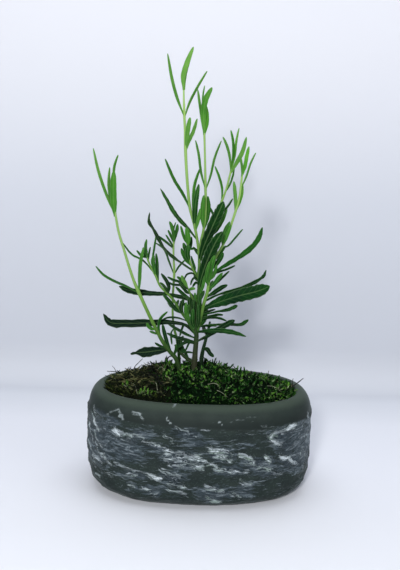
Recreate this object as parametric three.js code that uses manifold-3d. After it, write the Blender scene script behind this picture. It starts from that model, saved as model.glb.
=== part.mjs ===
// A lavender cutting in an oval, brush-coated pot topped with moss.
// Millimetres, +Z up. The origin is the middle of the pot's flat base, and +X runs along the pot.
import * as THREE from 'three';
import { mergeVertices } from 'three/addons/utils/BufferGeometryUtils.js';
import Module from 'manifold-3d';

// The pot
const potLength = 160;
const potDepth = 112;
const potHeight = 72;
const planPower = 2.36; // the exponent of the superellipse that the pot's plan follows
const floorThickness = 8;
const baseInset = 12.6; // how far the foot is drawn in from the widest outline
const rimStart = 60; // where the wall begins to round over into the rim
const rimOuterInset = 8.2;
const coatProud = 0.8; // the brushed coat stands this far out from the smooth rim band
const coatRelief = 0.45;
const potSides = 54;

// The bowl inside the pot, from the rim down to the floor, as [inset from the plan outline, z]
const bowl = [[11.2, 69.5], [10.9, 61.7], [10.5, 40], [11.5, 20], [14, 12], [20, floorThickness]];

// The fill
const fitGap = 0.3; // between the fill, the wall, the mats and the stems
const soilTop = 62; // level with the second step of the bowl, plus the gap
const stemFoot = 50; // the buried ends of the stems
const mossSides = 66;
const mossEdge = 70.4;
const moundHeight = 13.4;
const moundPower = 0.42;
const tuftCount = 90;
const tuftRadius = 7;
const tuftHeight = 1.6;

// The plant
const stemSides = 6;
const bladeThickness = 0.8;
const broadBlade = 5; // blades wider than this are a little thicker
const broadBladeThickness = 1;
const bladeArch = 0.16; // how far the edges drop, as a share of half the width
const waveLength = 13; // the waved edges of the large leaves
const waveHeight = 0.45;
const waveStep = 3.6; // between the sections of a waved leaf

// Stems and leaves are laid out on the upright plane through the middle of the pot, as seen from
// this point. A depth slides a point along its line of sight, so it keeps its place in that view.
const eye = new THREE.Vector3(-16, -529, 225);

const wasm = await Module();
wasm.setup();

function seededRandom(seed) {
  let state = seed;
  return () => {
    state = (state * 1664525 + 1013904223) % 4294967296;
    return state / 4294967296;
  };
}

function toSolid(geometry) {
  const bare = geometry.clone();
  bare.deleteAttribute('normal');
  bare.deleteAttribute('uv');
  const merged = mergeVertices(bare, 1e-4);
  return new wasm.Manifold(new wasm.Mesh({
    numProp: 3,
    vertProperties: new Float32Array(merged.attributes.position.array),
    triVerts: new Uint32Array(merged.index.array),
  }));
}

function largestBody(solid) {
  const bodies = solid.decompose();
  return bodies.reduce((best, body) => (body.volume() > best.volume() ? body : best));
}

function toGeometry(solid) {
  const { numProp, vertProperties, triVerts } = largestBody(solid).getMesh();
  const positions = new Float32Array((vertProperties.length / numProp) * 3);
  for (let i = 0; i < positions.length / 3; i += 1) {
    for (let k = 0; k < 3; k += 1) {
      positions[i * 3 + k] = vertProperties[i * numProp + k];
    }
  }
  const geometry = new THREE.BufferGeometry();
  geometry.setAttribute('position', new THREE.BufferAttribute(positions, 3));
  geometry.setIndex(new THREE.BufferAttribute(new Uint32Array(triVerts), 1));
  geometry.computeVertexNormals();
  return geometry;
}

// Closes a stack of rings, all with the same count, between a point at each end.
// From the side turnedFrom on, the quads are split along their other diagonal.
function stackRings(rings, firstPoint, lastPoint, turnedFrom = Infinity) {
  const sides = rings[0].length;
  const points = [firstPoint, ...rings.flat(), lastPoint];
  const last = points.length - 1;
  const index = [];
  const at = (ring, side) => 1 + ring * sides + (side % sides);
  for (let side = 0; side < sides; side += 1) {
    index.push(0, at(0, side + 1), at(0, side));
    for (let ring = 0; ring < rings.length - 1; ring += 1) {
      const [low, lowNext] = [at(ring, side), at(ring, side + 1)];
      const [high, highNext] = [at(ring + 1, side), at(ring + 1, side + 1)];
      if (side < turnedFrom) {
        index.push(low, lowNext, highNext, low, highNext, high);
      } else {
        index.push(low, lowNext, high, lowNext, highNext, high);
      }
    }
    index.push(at(rings.length - 1, side), at(rings.length - 1, side + 1), last);
  }
  const geometry = new THREE.BufferGeometry().setFromPoints(points);
  geometry.setIndex(index);
  return geometry;
}

function smooth(low, high, value) {
  return THREE.MathUtils.smoothstep(value, low, high);
}

// One point of the pot's plan outline, drawn in by inset
function ovalPoint(angle, inset, z) {
  const along = Math.cos(angle);
  const across = Math.sin(angle);
  const power = 2 / planPower;
  const x = (potLength / 2 - inset) * Math.sign(along) * Math.abs(along) ** power;
  const y = (potDepth / 2 - inset) * Math.sign(across) * Math.abs(across) ** power;
  return new THREE.Vector3(x, y, z);
}

function ovalRing(inset, z, sides) {
  const ring = [];
  for (let side = 0; side < sides; side += 1) {
    const angle = (side / sides) * Math.PI * 2;
    ring.push(ovalPoint(angle, inset, z));
  }
  return ring;
}

// Low ridges that run mostly along the wall, as left by a wide brush
function coatAt(angle, z) {
  const swell = Math.sin(5 * angle + 0.35 * z) * Math.sin(0.28 * z + 2 * Math.sin(2 * angle));
  const ripple = 0.5 * Math.sin(11 * angle - 0.5 * z);
  return coatProud + coatRelief * (swell + ripple);
}

function coatEdgeAt(angle) {
  return rimStart - 0.5 + 1.5 * Math.sin(2 * angle + 0.6) + 0.9 * Math.sin(7 * angle + 1.1);
}

function coatRing(inset, height, proud, sides) {
  const ring = [];
  for (let side = 0; side < sides; side += 1) {
    const angle = (side / sides) * Math.PI * 2;
    const z = typeof height === 'function' ? height(angle) : height;
    ring.push(ovalPoint(angle, inset - proud * coatAt(angle, z), z));
  }
  return ring;
}

function makePot() {
  const wall = [
    [baseInset, 0], [7.6, 3], [5.2, 5.5], [3.3, 8], [1.5, 14], [0.5, 22],
    [0, 31], [0, 40], [0, 49], [0, 55],
  ];
  const rings = wall.map(([inset, z]) => coatRing(inset, z, 1, potSides));
  rings.push(coatRing(0, (angle) => coatEdgeAt(angle) - 1, 1, potSides));
  rings.push(coatRing(0, coatEdgeAt, 0, potSides));
  // the rim rounds over as a quarter of an ellipse
  const rimRise = potHeight - rimStart;
  for (const share of [0.35, 0.6, 0.8, 0.93, 1]) {
    const inset = rimOuterInset * (1 - Math.sqrt(1 - share * share));
    rings.push(ovalRing(inset, rimStart + share * rimRise, potSides));
  }
  const lip = [[9.6, potHeight], [10.8, potHeight - 0.7]];
  rings.push(...[...lip, ...bowl].map(([inset, z]) => ovalRing(inset, z, potSides)));
  return stackRings(rings, new THREE.Vector3(0, 0, 0), new THREE.Vector3(0, 0, floorThickness));
}

function makeSoil(stemHoles) {
  const profile = bowl.slice(1).reverse();
  const rings = profile.map(([inset, z]) => ovalRing(inset + fitGap, z + fitGap, potSides));
  const foot = new THREE.Vector3(0, 0, floorThickness + fitGap);
  const soil = toSolid(stackRings(rings, foot, new THREE.Vector3(0, 0, soilTop)));
  return toGeometry(stemHoles.reduce((rest, hole) => rest.subtract(hole), soil));
}

// The moss mound: a low dome, flatter to both sides, with tufts standing out of it
const mossInset = 11.5;
const random = seededRandom(7);
const tufts = Array.from({ length: tuftCount }, () => ({
  x: (random() * 2 - 1) * (potLength / 2 - mossInset),
  y: (random() * 2 - 1) * (potDepth / 2 - mossInset),
  radius: tuftRadius * (0.7 + 0.6 * random()),
  height: tuftHeight * (0.5 + random()),
}));

function mossTopAt(x, y) {
  const reachX = Math.abs(x) / (potLength / 2 - mossInset);
  const reachY = Math.abs(y) / (potDepth / 2 - mossInset);
  const reach = Math.min(1, (reachX ** planPower + reachY ** planPower) ** (1 / planPower));
  const side = 1 - 0.22 * smooth(10, 38, x) - 0.12 * smooth(28, 50, -x);
  let tuft = 0;
  for (const { x: tuftX, y: tuftY, radius, height } of tufts) {
    const away = Math.hypot(x - tuftX, y - tuftY) / radius;
    tuft = Math.max(tuft, height * (1 - away * away));
  }
  const edge = smooth(0, 0.15, 1 - reach);
  return mossEdge + moundHeight * side * (1 - reach * reach) ** moundPower + tuft * edge;
}

function makeMossMat() {
  const bottom = soilTop + fitGap;
  const rings = [ovalRing(mossInset, bottom, mossSides), ovalRing(mossInset, mossEdge, mossSides)];
  for (const reach of [0.95, 0.88, 0.8, 0.71, 0.62, 0.53, 0.44, 0.35, 0.26, 0.16, 0.07]) {
    const ring = ovalRing(mossInset, 0, mossSides);
    for (const point of ring) {
      point.x *= reach;
      point.y *= reach;
      point.z = mossTopAt(point.x, point.y);
    }
    rings.push(ring);
  }
  const peak = new THREE.Vector3(0, 0, mossTopAt(0, 0));
  return toSolid(stackRings(rings, new THREE.Vector3(0, 0, bottom), peak));
}

// Everything left of the wavy line where the dry moss meets the living moss
function leftOfMossLine(shift) {
  const outline = new THREE.Shape();
  outline.moveTo(-potLength, potDepth);
  for (let y = potDepth; y >= -potDepth; y -= 7) {
    const x = -24.5 - 0.1 * y + 2.2 * Math.sin(y / 6) + shift;
    outline.lineTo(x, y);
  }
  outline.lineTo(-potLength, -potDepth);
  const block = new THREE.ExtrudeGeometry(outline, { depth: potHeight, bevelEnabled: false });
  block.translate(0, 0, soilTop - potHeight / 4);
  return toSolid(block);
}

function makeMoss(stemHoles) {
  const mat = makeMossMat();
  const living = mat.subtract(leftOfMossLine(fitGap));
  return {
    green: toGeometry(stemHoles.reduce((rest, hole) => rest.subtract(hole), living)),
    brown: toGeometry(mat.intersect(leftOfMossLine(0))),
  };
}

function seen(x, z, depth) {
  const point = new THREE.Vector3(x, 0, z);
  const reach = (depth - eye.y) / -eye.y;
  return point.sub(eye).multiplyScalar(reach).add(eye);
}

function valueAlong(values, share) {
  const list = Array.isArray(values) ? values : [values];
  if (list.length === 1) {
    return list[0];
  }
  const place = THREE.MathUtils.clamp(share, 0, 1) * (list.length - 1);
  const first = Math.min(Math.floor(place), list.length - 2);
  return THREE.MathUtils.lerp(list[first], list[first + 1], place - first);
}

// Sweeps a round section along the centres, with a radius for each of them
function sweepSolid(centres, radii) {
  const curve = new THREE.CatmullRomCurve3(centres, false, 'centripetal');
  const sideways = new THREE.Vector3(1, 0, 0);
  const rings = radii.map((radius, step) => {
    const share = step / (radii.length - 1);
    const centre = curve.getPoint(share);
    const ahead = curve.getTangent(share);
    sideways.addScaledVector(ahead, -sideways.dot(ahead)).normalize();
    const across = ahead.clone().cross(sideways);
    const ring = [];
    for (let side = 0; side < stemSides; side += 1) {
      const angle = (side / stemSides) * Math.PI * 2;
      const point = centre.clone().addScaledVector(sideways, Math.cos(angle) * radius);
      ring.push(point.addScaledVector(across, Math.sin(angle) * radius));
    }
    return ring;
  });
  return toSolid(stackRings(rings, curve.getPoint(0), curve.getPoint(1)));
}

// A branch runs through its [x, z, depth, radius] stations; the first one lies inside its parent
function branchSolid(stations) {
  const centres = stations.map(([x, z, depth]) => seen(x, z, depth));
  return sweepSolid(centres, stations.map((station) => station[3]));
}

// A rooted stem also goes straight down into the soil below its first station
function rootedSolid(stations, grow = 0) {
  const centres = stations.map(([x, z, depth]) => seen(x, z, depth));
  const radii = stations.map((station) => station[3] + grow);
  const foot = centres[0].clone().setZ(stemFoot - grow);
  return sweepSolid([foot, ...centres], [radii[0], ...radii]);
}

// A narrow blade: thin at its root, widest past the middle, and blunt at the tip
function bladeShare(share) {
  const root = 0.4 + 0.6 * smooth(0, 0.4, share);
  const tip = share < 0.6 ? 1 : Math.sqrt(1 - ((share - 0.6) / 0.4) ** 2.2);
  return root * tip;
}

// How far the edge of a large leaf waves up, opposite on its two sides
function edgeWave(along, length) {
  const fade = smooth(0, waveLength, along) * smooth(0, waveLength, length - along);
  return waveHeight * fade * Math.sin((along / waveLength) * Math.PI * 2);
}

// One leaf: [points as x, z], width or widths from root to tip, turn about its own line in degrees
// (0 shows its face, 90 its edge), and depths from root to tip. A leaf with listed widths is a
// large one, and its edges wave.
function leafSolid([along, width, turn, depth]) {
  const centres = along.map(([x, z], i) => seen(x, z, valueAlong(depth, i / (along.length - 1))));
  const curve = new THREE.CatmullRomCurve3(centres, false, 'centripetal');
  const length = curve.getLength();
  const large = Array.isArray(width);
  const steps = large ? Math.round(length / waveStep) : Math.round(THREE.MathUtils.clamp(length / 7, 3, 6));
  const frameAt = (share) => {
    const ahead = curve.getTangent(share);
    const sight = curve.getPoint(share).sub(eye);
    const sideways = ahead.clone().cross(sight).normalize();
    return { ahead, sideways, upward: sideways.clone().cross(ahead) };
  };
  // the upper face is the one that looks up at the middle of the leaf
  const faceSign = Math.sign(frameAt(0.5).upward.z);
  const rings = [];
  for (let step = 0; step < steps; step += 1) {
    const share = (step / steps) ** 0.9;
    const centre = curve.getPoint(share);
    const { ahead, sideways, upward } = frameAt(share);
    sideways.multiplyScalar(faceSign);
    upward.multiplyScalar(faceSign);
    const lean = THREE.MathUtils.degToRad(valueAlong(turn, share));
    sideways.applyAxisAngle(ahead, lean);
    upward.applyAxisAngle(ahead, lean);
    const half = (large ? valueAlong(width, share) : width * bladeShare(share)) / 2;
    const widest = large ? Math.max(...width) : width;
    const thick = (widest > broadBlade ? broadBladeThickness : bladeThickness) / 2;
    const drop = half * bladeArch;
    const wave = large ? edgeWave(share * length, length) : 0;
    rings.push([
      centre.clone().addScaledVector(sideways, half).addScaledVector(upward, wave - drop),
      centre.clone().addScaledVector(upward, -thick),
      centre.clone().addScaledVector(sideways, -half).addScaledVector(upward, -wave - drop),
      centre.clone().addScaledVector(upward, thick),
    ]);
  }
  // sides 0 and 1 are the lower face, and the upper face is split like it
  return toSolid(stackRings(rings, curve.getPoint(0), curve.getPoint(1), 2));
}

// Stems: each station is [x, z, depth, radius]
const leftStem = [
  [-15.8, 82, -4, 1.6], [-17.1, 87.7, -4, 1.6], [-19.1, 92.1, -5, 1.6], [-22.6, 95.8, -5, 1.5],
  [-28, 102.9, -7, 1.4], [-33.9, 113.5, -9, 1.3], [-39, 123.6, -10, 1.25], [-44, 134, -12, 1.2],
  [-46.4, 139, -12, 1.35], [-50, 147, -13, 1], [-53.9, 158, -13, 0.95], [-57.4, 169, -13, 0.9],
  [-61.3, 181, -13, 0.85], [-63.5, 191.6, -13, 0.85], [-64.3, 196, -13, 0.8],
];
const trunk = [
  [-5.1, 84, 0, 2.2], [-4.9, 91, 0, 2.1], [-4.6, 99, 0, 1.9], [-4.3, 105, 0, 1.8], [-4.3, 110, 0, 1.7],
  [-6, 117.5, 0, 1.4], [-5.8, 124.8, 0, 1.4], [-4.3, 134.6, -1, 1.35], [-3.5, 144, -1, 1.3],
  [-4.2, 152.4, -1, 1.3], [-3.9, 158.5, -1, 1.1], [-4.1, 165.6, -1, 1.1], [-5.2, 173.5, 0, 1],
  [-6.7, 181.5, 0, 1], [-8.7, 189.5, 1, 1], [-11.8, 200, 1, 1.1], [-13.5, 212, 2, 1.05],
  [-15.2, 228, 2, 1.05], [-16.2, 241, 3, 1.15], [-16.9, 253, 3, 0.85], [-17.7, 264, 3, 0.95],
  [-18.3, 274, 3, 0.65], [-18.7, 282, 3, 0.6],
];
const centreShoot = [
  [-4.4, 168.5, -0.5, 0.8], [-3.2, 177.5, 1, 0.9], [-1.8, 184.6, 2, 0.9], [-0.8, 195, 3, 0.9],
  [-0.9, 206, 4, 0.85], [-1.4, 214.6, 5, 1], [-2, 227, 5, 0.75], [-2.9, 243, 5, 0.7], [-3.5, 252, 5, 0.8],
];
const backShoot = [
  [-4, 161, -0.5, 0.7], [-2, 170, 1.5, 0.8], [1.5, 181, 3, 0.8], [5.5, 192.5, 3, 0.8],
  [9, 201.5, 3, 0.8], [10.9, 207, 3, 0.9], [13.2, 214, 4, 0.7], [14.9, 221.5, 4, 0.7], [16.3, 228, 5, 0.8],
];
const rightShoot = [
  [-4, 111, 0, 1.2], [-2.6, 116.5, 0, 1.3], [-1.3, 124, -0.5, 1.3], [0.5, 133, -1, 1.2],
  [2.6, 141, -2, 1.2], [3.4, 149, -2, 1.1], [4.6, 157, -1, 1], [8, 166.5, -0.5, 0.9], [12, 174, 0, 0.9],
  [15.6, 182, 0.5, 0.9], [18, 190.5, 1, 0.9], [20.4, 199, 1, 0.95], [22.6, 208.5, 2, 0.8],
  [23.4, 217, 3, 0.75], [23.9, 225, 3, 0.7],
];
const innerShoot = [
  [-4.4, 149.5, -1, 0.8], [-8, 156, -1.5, 0.75], [-10.7, 163, -2, 0.7], [-12.5, 171, -2.5, 0.7],
  [-12.9, 176, -3, 0.6],
];
const lowLeftShoot = [
  [-4.5, 108.5, 0, 1], [-10.7, 118.9, -1, 1.1], [-16.6, 126.8, -2, 1], [-21.1, 133.6, -3, 0.95],
  [-26, 138.8, -3.5, 0.9], [-31.4, 144.2, -4, 0.8], [-34.6, 151, -5, 0.75], [-37.6, 156.2, -5, 0.7],
  [-40.2, 161.8, -6, 0.7], [-41.3, 165, -6, 0.6],
];
const smallShoot = [
  [-5.2, 130, -0.5, 0.7], [-8, 136, -0.5, 0.7], [-10.8, 141.5, 0, 0.7], [-13.4, 146.4, 0, 0.6],
];
const baseTwig = [
  [-5, 89, 0.5, 1.1], [-8.5, 90.2, 2, 1.2], [-13, 93.5, 2.5, 1.2], [-17, 97.5, 2.5, 1],
  [-19.5, 101.5, 2.5, 0.7],
];
const thinStem = [
  [-15.6, 82, 8, 1.2], [-16.1, 90, 8, 1.2], [-17, 98.5, 8, 1.1], [-18.6, 107, 8.5, 1],
  [-20.4, 113.5, 9, 0.9], [-21.7, 123, 9.5, 0.8], [-22, 138, 10, 0.8], [-21.5, 153.8, 11, 0.95],
  [-22.2, 164, 11, 0.65], [-22.6, 172, 10, 0.8], [-22.5, 177, 10, 0.6],
];
const darkStem = [
  [-0.1, 83, 0, 1.6], [0, 92, 0, 1.6], [1.1, 99.5, 0, 1.3], [2.4, 105, 0.3, 1.2], [3.4, 110, 0.5, 1.2],
  [4.6, 115.5, 0.8, 0.9], [5.2, 119.2, 1, 0.7],
];

// Leaves: [points, width or widths, turn, depths], from root to tip
const leftLeaves = [
  [[[-64.2, 194], [-67.2, 200], [-72, 211], [-76.8, 225], [-80.1, 239.3]], 2.8, 48, [-13, -16]],
  [[[-64.4, 195], [-66.6, 200.5], [-69.1, 213.6], [-68.8, 226.5]], 2.6, 50, [-13, -8]],
  [[[-64.1, 192.5], [-65.3, 201], [-65.9, 213], [-65.5, 224.3]], 4.8, 12, [-13, -17]],
  [[[-64.3, 195.5], [-65.4, 212], [-65.6, 226], [-63.1, 235.3]], 2.4, 55, [-12.5, -6]],
  [[[-46.4, 138.4], [-54.7, 143], [-63.2, 146.4], [-71.6, 151], [-77.3, 157]], 2.5, 52, [-12, -17]],
  [[[-46.3, 138.6], [-46.1, 149], [-45.8, 160], [-43.7, 171.6]], 2.9, 40, [-12, -15.5]],
  [[[-33.4, 112.4], [-36.6, 112.7], [-38.9, 114.3], [-40.4, 117]], 2.8, 30, [-9, -13]],
  [[[-31.2, 108.8], [-35, 110], [-38.1, 110.9]], 2.2, 50, [-8, -12]],
  [[[-30.4, 107], [-31.9, 114], [-30.8, 120.2], [-25.7, 126]], 2.6, 52, [-8, -6.5]],
  [[[-21.6, 95], [-25, 102.5], [-27.3, 110], [-28.9, 116.4]], 3, 25, [-5, -4.5]],
  [[[-24.9, 98.4], [-30.2, 100.4], [-34.1, 102.6]], 2.2, 45, [-5.5, -1]],
  [[[-24.6, 97.8], [-33.2, 96.6], [-40.8, 95.4], [-47, 94.8], [-51.6, 93.6]],
    [2.2, 4.6, 5.8, 7, 7.6, 7.4, 5, 1.8, 2.2, 2], 12, [-5, -3]],
  [[[-20.3, 93.3], [-18.8, 97.5], [-18.6, 102]], 2.4, 30, [-5, -12]],
];

const tallLeaves = [
  [[[-18.7, 280.5], [-19.3, 289.5], [-17.2, 298], [-12.7, 309.6]], 3.6, 15, [3, 0]],
  [[[-18.6, 280.5], [-18.3, 290], [-16.7, 297.5], [-14.4, 305]], 3.2, 45, [3, 6]],
  [[[-17.8, 263], [-23.1, 275], [-27.1, 288], [-30.4, 304.5]], 2.7, 46, [3, -4]],
  [[[-17.6, 263], [-14.7, 272], [-9.9, 282], [-3.2, 294]], 2.5, 58, [3, 9]],
  [[[-16.3, 240.5], [-15.3, 250], [-14.6, 256.5], [-13.6, 262.4]], 3.2, 15, [3, -4]],
  [[[-16, 239], [-14.2, 246], [-11.4, 252.5], [-8.7, 261.8]], 3, 38, [3, 1]],
  [[[-11.9, 200.5], [-16.4, 209], [-23.4, 219.7], [-29.9, 233.8]], 2.8, 52, [1, -5]],
  [[[-6.6, 178.5], [-12.6, 185.5], [-20.8, 193.7], [-26.8, 202.8], [-33, 213.2]],
    [1.2, 1.5, 1.9, 2.6, 3.2, 3.4, 3, 2.6, 2.2, 1.4], 26, [0, -6]],
  [[[-7.2, 184.5], [-6.3, 189.5], [-5.2, 195], [-4.5, 200]], 2.8, 30, [0.5, -4]],
  [[[-8.4, 187.5], [-8.4, 195.5], [-8.1, 204], [-6.1, 217.2]], 4.2, 24, [1, -5]],
  [[[-9, 190], [-9.8, 203], [-9.3, 216], [-5.8, 228.4]], 2.6, 48, [1, 4]],
];

const centreLeaves = [
  [[[-3.4, 250.5], [-4.5, 264], [-3.6, 274], [0.9, 283.2]], 4.2, 12, [5, 1]],
  [[[-3.3, 250.5], [-1.7, 258], [-1.7, 264], [-2.6, 270.4]], 2.6, 35, [5, 8]],
  [[[-3.4, 249.5], [-5.6, 261], [-7.7, 273], [-9.1, 281.4]], 2.4, 50, [5, 2]],
  [[[-3.4, 250], [-4.8, 265], [-5.2, 276], [-4.3, 284]], 2, 60, [5, 10]],
  [[[-1.4, 213.5], [-5, 225], [-7, 237], [-9.5, 247]], 2.6, 54, [5, 0]],
  [[[-1.3, 213.8], [1.6, 223], [4.1, 235.5], [8.2, 247.4]], 2.3, 58, [5, 10]],
  [[[-1.6, 185.5], [-2.8, 193], [-3, 201.5], [-2.3, 209.5]], 3.4, 24, [2, -3]],
  [[[-1.5, 185], [0.6, 193], [1.4, 201], [0.4, 209]], 3.2, 24, [2, 8]],
];

const backLeaves = [
  [[[10.7, 206.5], [10.5, 214.5], [8.3, 222], [5, 229.8]], 2.3, 54, [3, -3]],
  [[[15.9, 226], [14.6, 236.5], [12.3, 244], [9.4, 250]], 2.4, 42, [4.5, 0]],
  [[[16.2, 227], [17.4, 238], [16.9, 247], [15.1, 254.8]], 2.2, 50, [5, 3]],
  [[[16.4, 227], [18.4, 238], [19, 247], [20.5, 256.4]], 2.2, 50, [5, 9]],
  [[[16.2, 225.5], [20, 233], [23.4, 240], [25.9, 250.6]], 3.2, 18, [4.5, 1]],
  [[[12.3, 211], [15.6, 217], [17.5, 223], [18.4, 229]], 2, 58, [3.5, 10]],
  [[[5.4, 191.5], [10.5, 197.5], [14.6, 202.3], [17.8, 207.8]], 2.4, 60, [3, 9]],
  [[[1.2, 179], [6.6, 184.5], [10.7, 191.3], [14.4, 200.6]], 3.2, 34, [3, -2]],
  [[[5.8, 193], [4.3, 197], [1.9, 201.4]], 2, 40, [3, 10]],
];

const rightLeaves = [
  [[[23.7, 222], [23.4, 230], [22.6, 234], [21.4, 239.2]], 2.2, 45, [3, -3]],
  [[[23.7, 223], [25.6, 230], [26.6, 237], [27.9, 244.2]], 2.8, 22, [3, 5]],
  [[[23.3, 215.5], [26.5, 223], [29.1, 232], [32.5, 240]], 2, 58, [3, 9]],
  [[[20.1, 198], [20, 206], [19.2, 213], [18.3, 219.8]], 2.8, 28, [1.5, -3]],
  [[[20.3, 198], [22.9, 205], [24.4, 211], [24.7, 218]], 2.6, 40, [1.5, 8]],
  [[[12.1, 173], [12.2, 180], [13.8, 186], [16.8, 191.6]], 2.9, 25, [0, -4]],
  [[[12, 173.5], [15.8, 174.5], [20.5, 180], [25.7, 186.7]], 2.4, 64, [0, 8]],
  [[[11.4, 172.8], [13.9, 179], [15.7, 184.5], [17.6, 189.4]], 3, 18, [0, -2.5]],
  [[[7.2, 164], [9.8, 167], [12.2, 171], [14.4, 174.4]], 2.6, 36, [-0.5, 6]],
  [[[5, 157], [8.6, 161.5], [11.2, 165.5], [12.8, 169.4]], 3.6, 22, [-1, 2]],
  [[[3.3, 147], [3.4, 153], [4.6, 160], [6.8, 167.5]], 4.2, 10, [-2.5, -9]],
  [[[3.2, 145], [1.4, 150], [1.9, 156], [3.5, 163]], 3, 28, [-2.5, -13]],
  [[[3.6, 149], [6.3, 152.5], [7.6, 156.5], [8.4, 161]], 2.6, 30, [-2, -7]],
  [[[4.1, 153.5], [11.1, 158.2], [21.6, 165], [31.6, 172.7], [37.4, 180.5], [39.6, 188.6]],
    [1.6, 1.9, 2.4, 3, 3.6, 4, 4, 3.7, 3, 1.8], 24, [-2, -9]],
  [[[4.1, 153], [9, 155.3], [16.5, 158.1], [21.4, 160.6]], 2.5, 62, [-1.5, 4]],
  [[[3.2, 144], [7.9, 147], [12, 151], [17.4, 156.5]], 2.4, 56, [-2, 6]],
  [[[3, 142.5], [6.2, 145.5], [10, 151], [12.9, 155]], 3.2, 25, [-2, -7]],
  [[[0.8, 134], [10.4, 138.9], [24.5, 143.6], [37.7, 149.6], [42.4, 153.6], [43.9, 158]],
    [1.6, 1.8, 2, 2.3, 2.7, 3, 3, 2.6, 2.2, 1.4], 44, [-0.5, 8]],
  [[[-0.2, 128.4], [10.6, 133.4], [24.7, 138.5], [38.9, 142.6], [47.3, 146.4]],
    [2, 4, 6.4, 8.2, 9, 9.4, 9.5, 9, 6.8, 3.4], 10, [-0.5, -10]],
  [[[2.3, 137.2], [7.4, 140.4], [12.4, 144], [16.8, 146.2]], 3.6, 22, [-1.5, 8]],
  [[[-1.2, 124], [9.9, 126.5], [19.3, 128.8], [24.7, 131.6]],
    [1.4, 1.4, 1.5, 1.7, 2, 2.4, 2.8, 3.2, 3.2, 2.6], 32, [-0.5, 6]],
  [[[-0.8, 125.6], [4.1, 127.1], [8.3, 128.4]], 2, 52, [-0.5, 12]],
  [[[-1.6, 121.8], [5, 123.4], [10.6, 124.7], [14.6, 124.8]], 2.4, 56, [0, -8]],
  [[[-1.7, 120.6], [5.2, 122.4], [11.5, 122.3], [17.3, 120.4]], 2.3, 56, [0, -5]],
  [[[-2.8, 115.6], [1, 116.2], [5.6, 116.8], [10.2, 116.4]], 2, 52, [-0.5, -7]],
  [[[-2.7, 115.4], [0.4, 119.6], [1.9, 125.5], [2.3, 132]], 3.4, 18, [0, 5]],
  [[[-3.4, 113.4], [-3.7, 118.5], [-3.2, 125.5], [-1.9, 134]], 3.8, 12, [0, 5]],
  [[[-3.6, 111.4], [2, 112.1], [10, 112.7], [21, 112], [31.9, 109]],
    [1.6, 2, 2.6, 3.2, 3.6, 3.8, 3.8, 3.4, 2.6, 1.6], 22, [0, -8, -10, -12, -14]],
];

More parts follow.
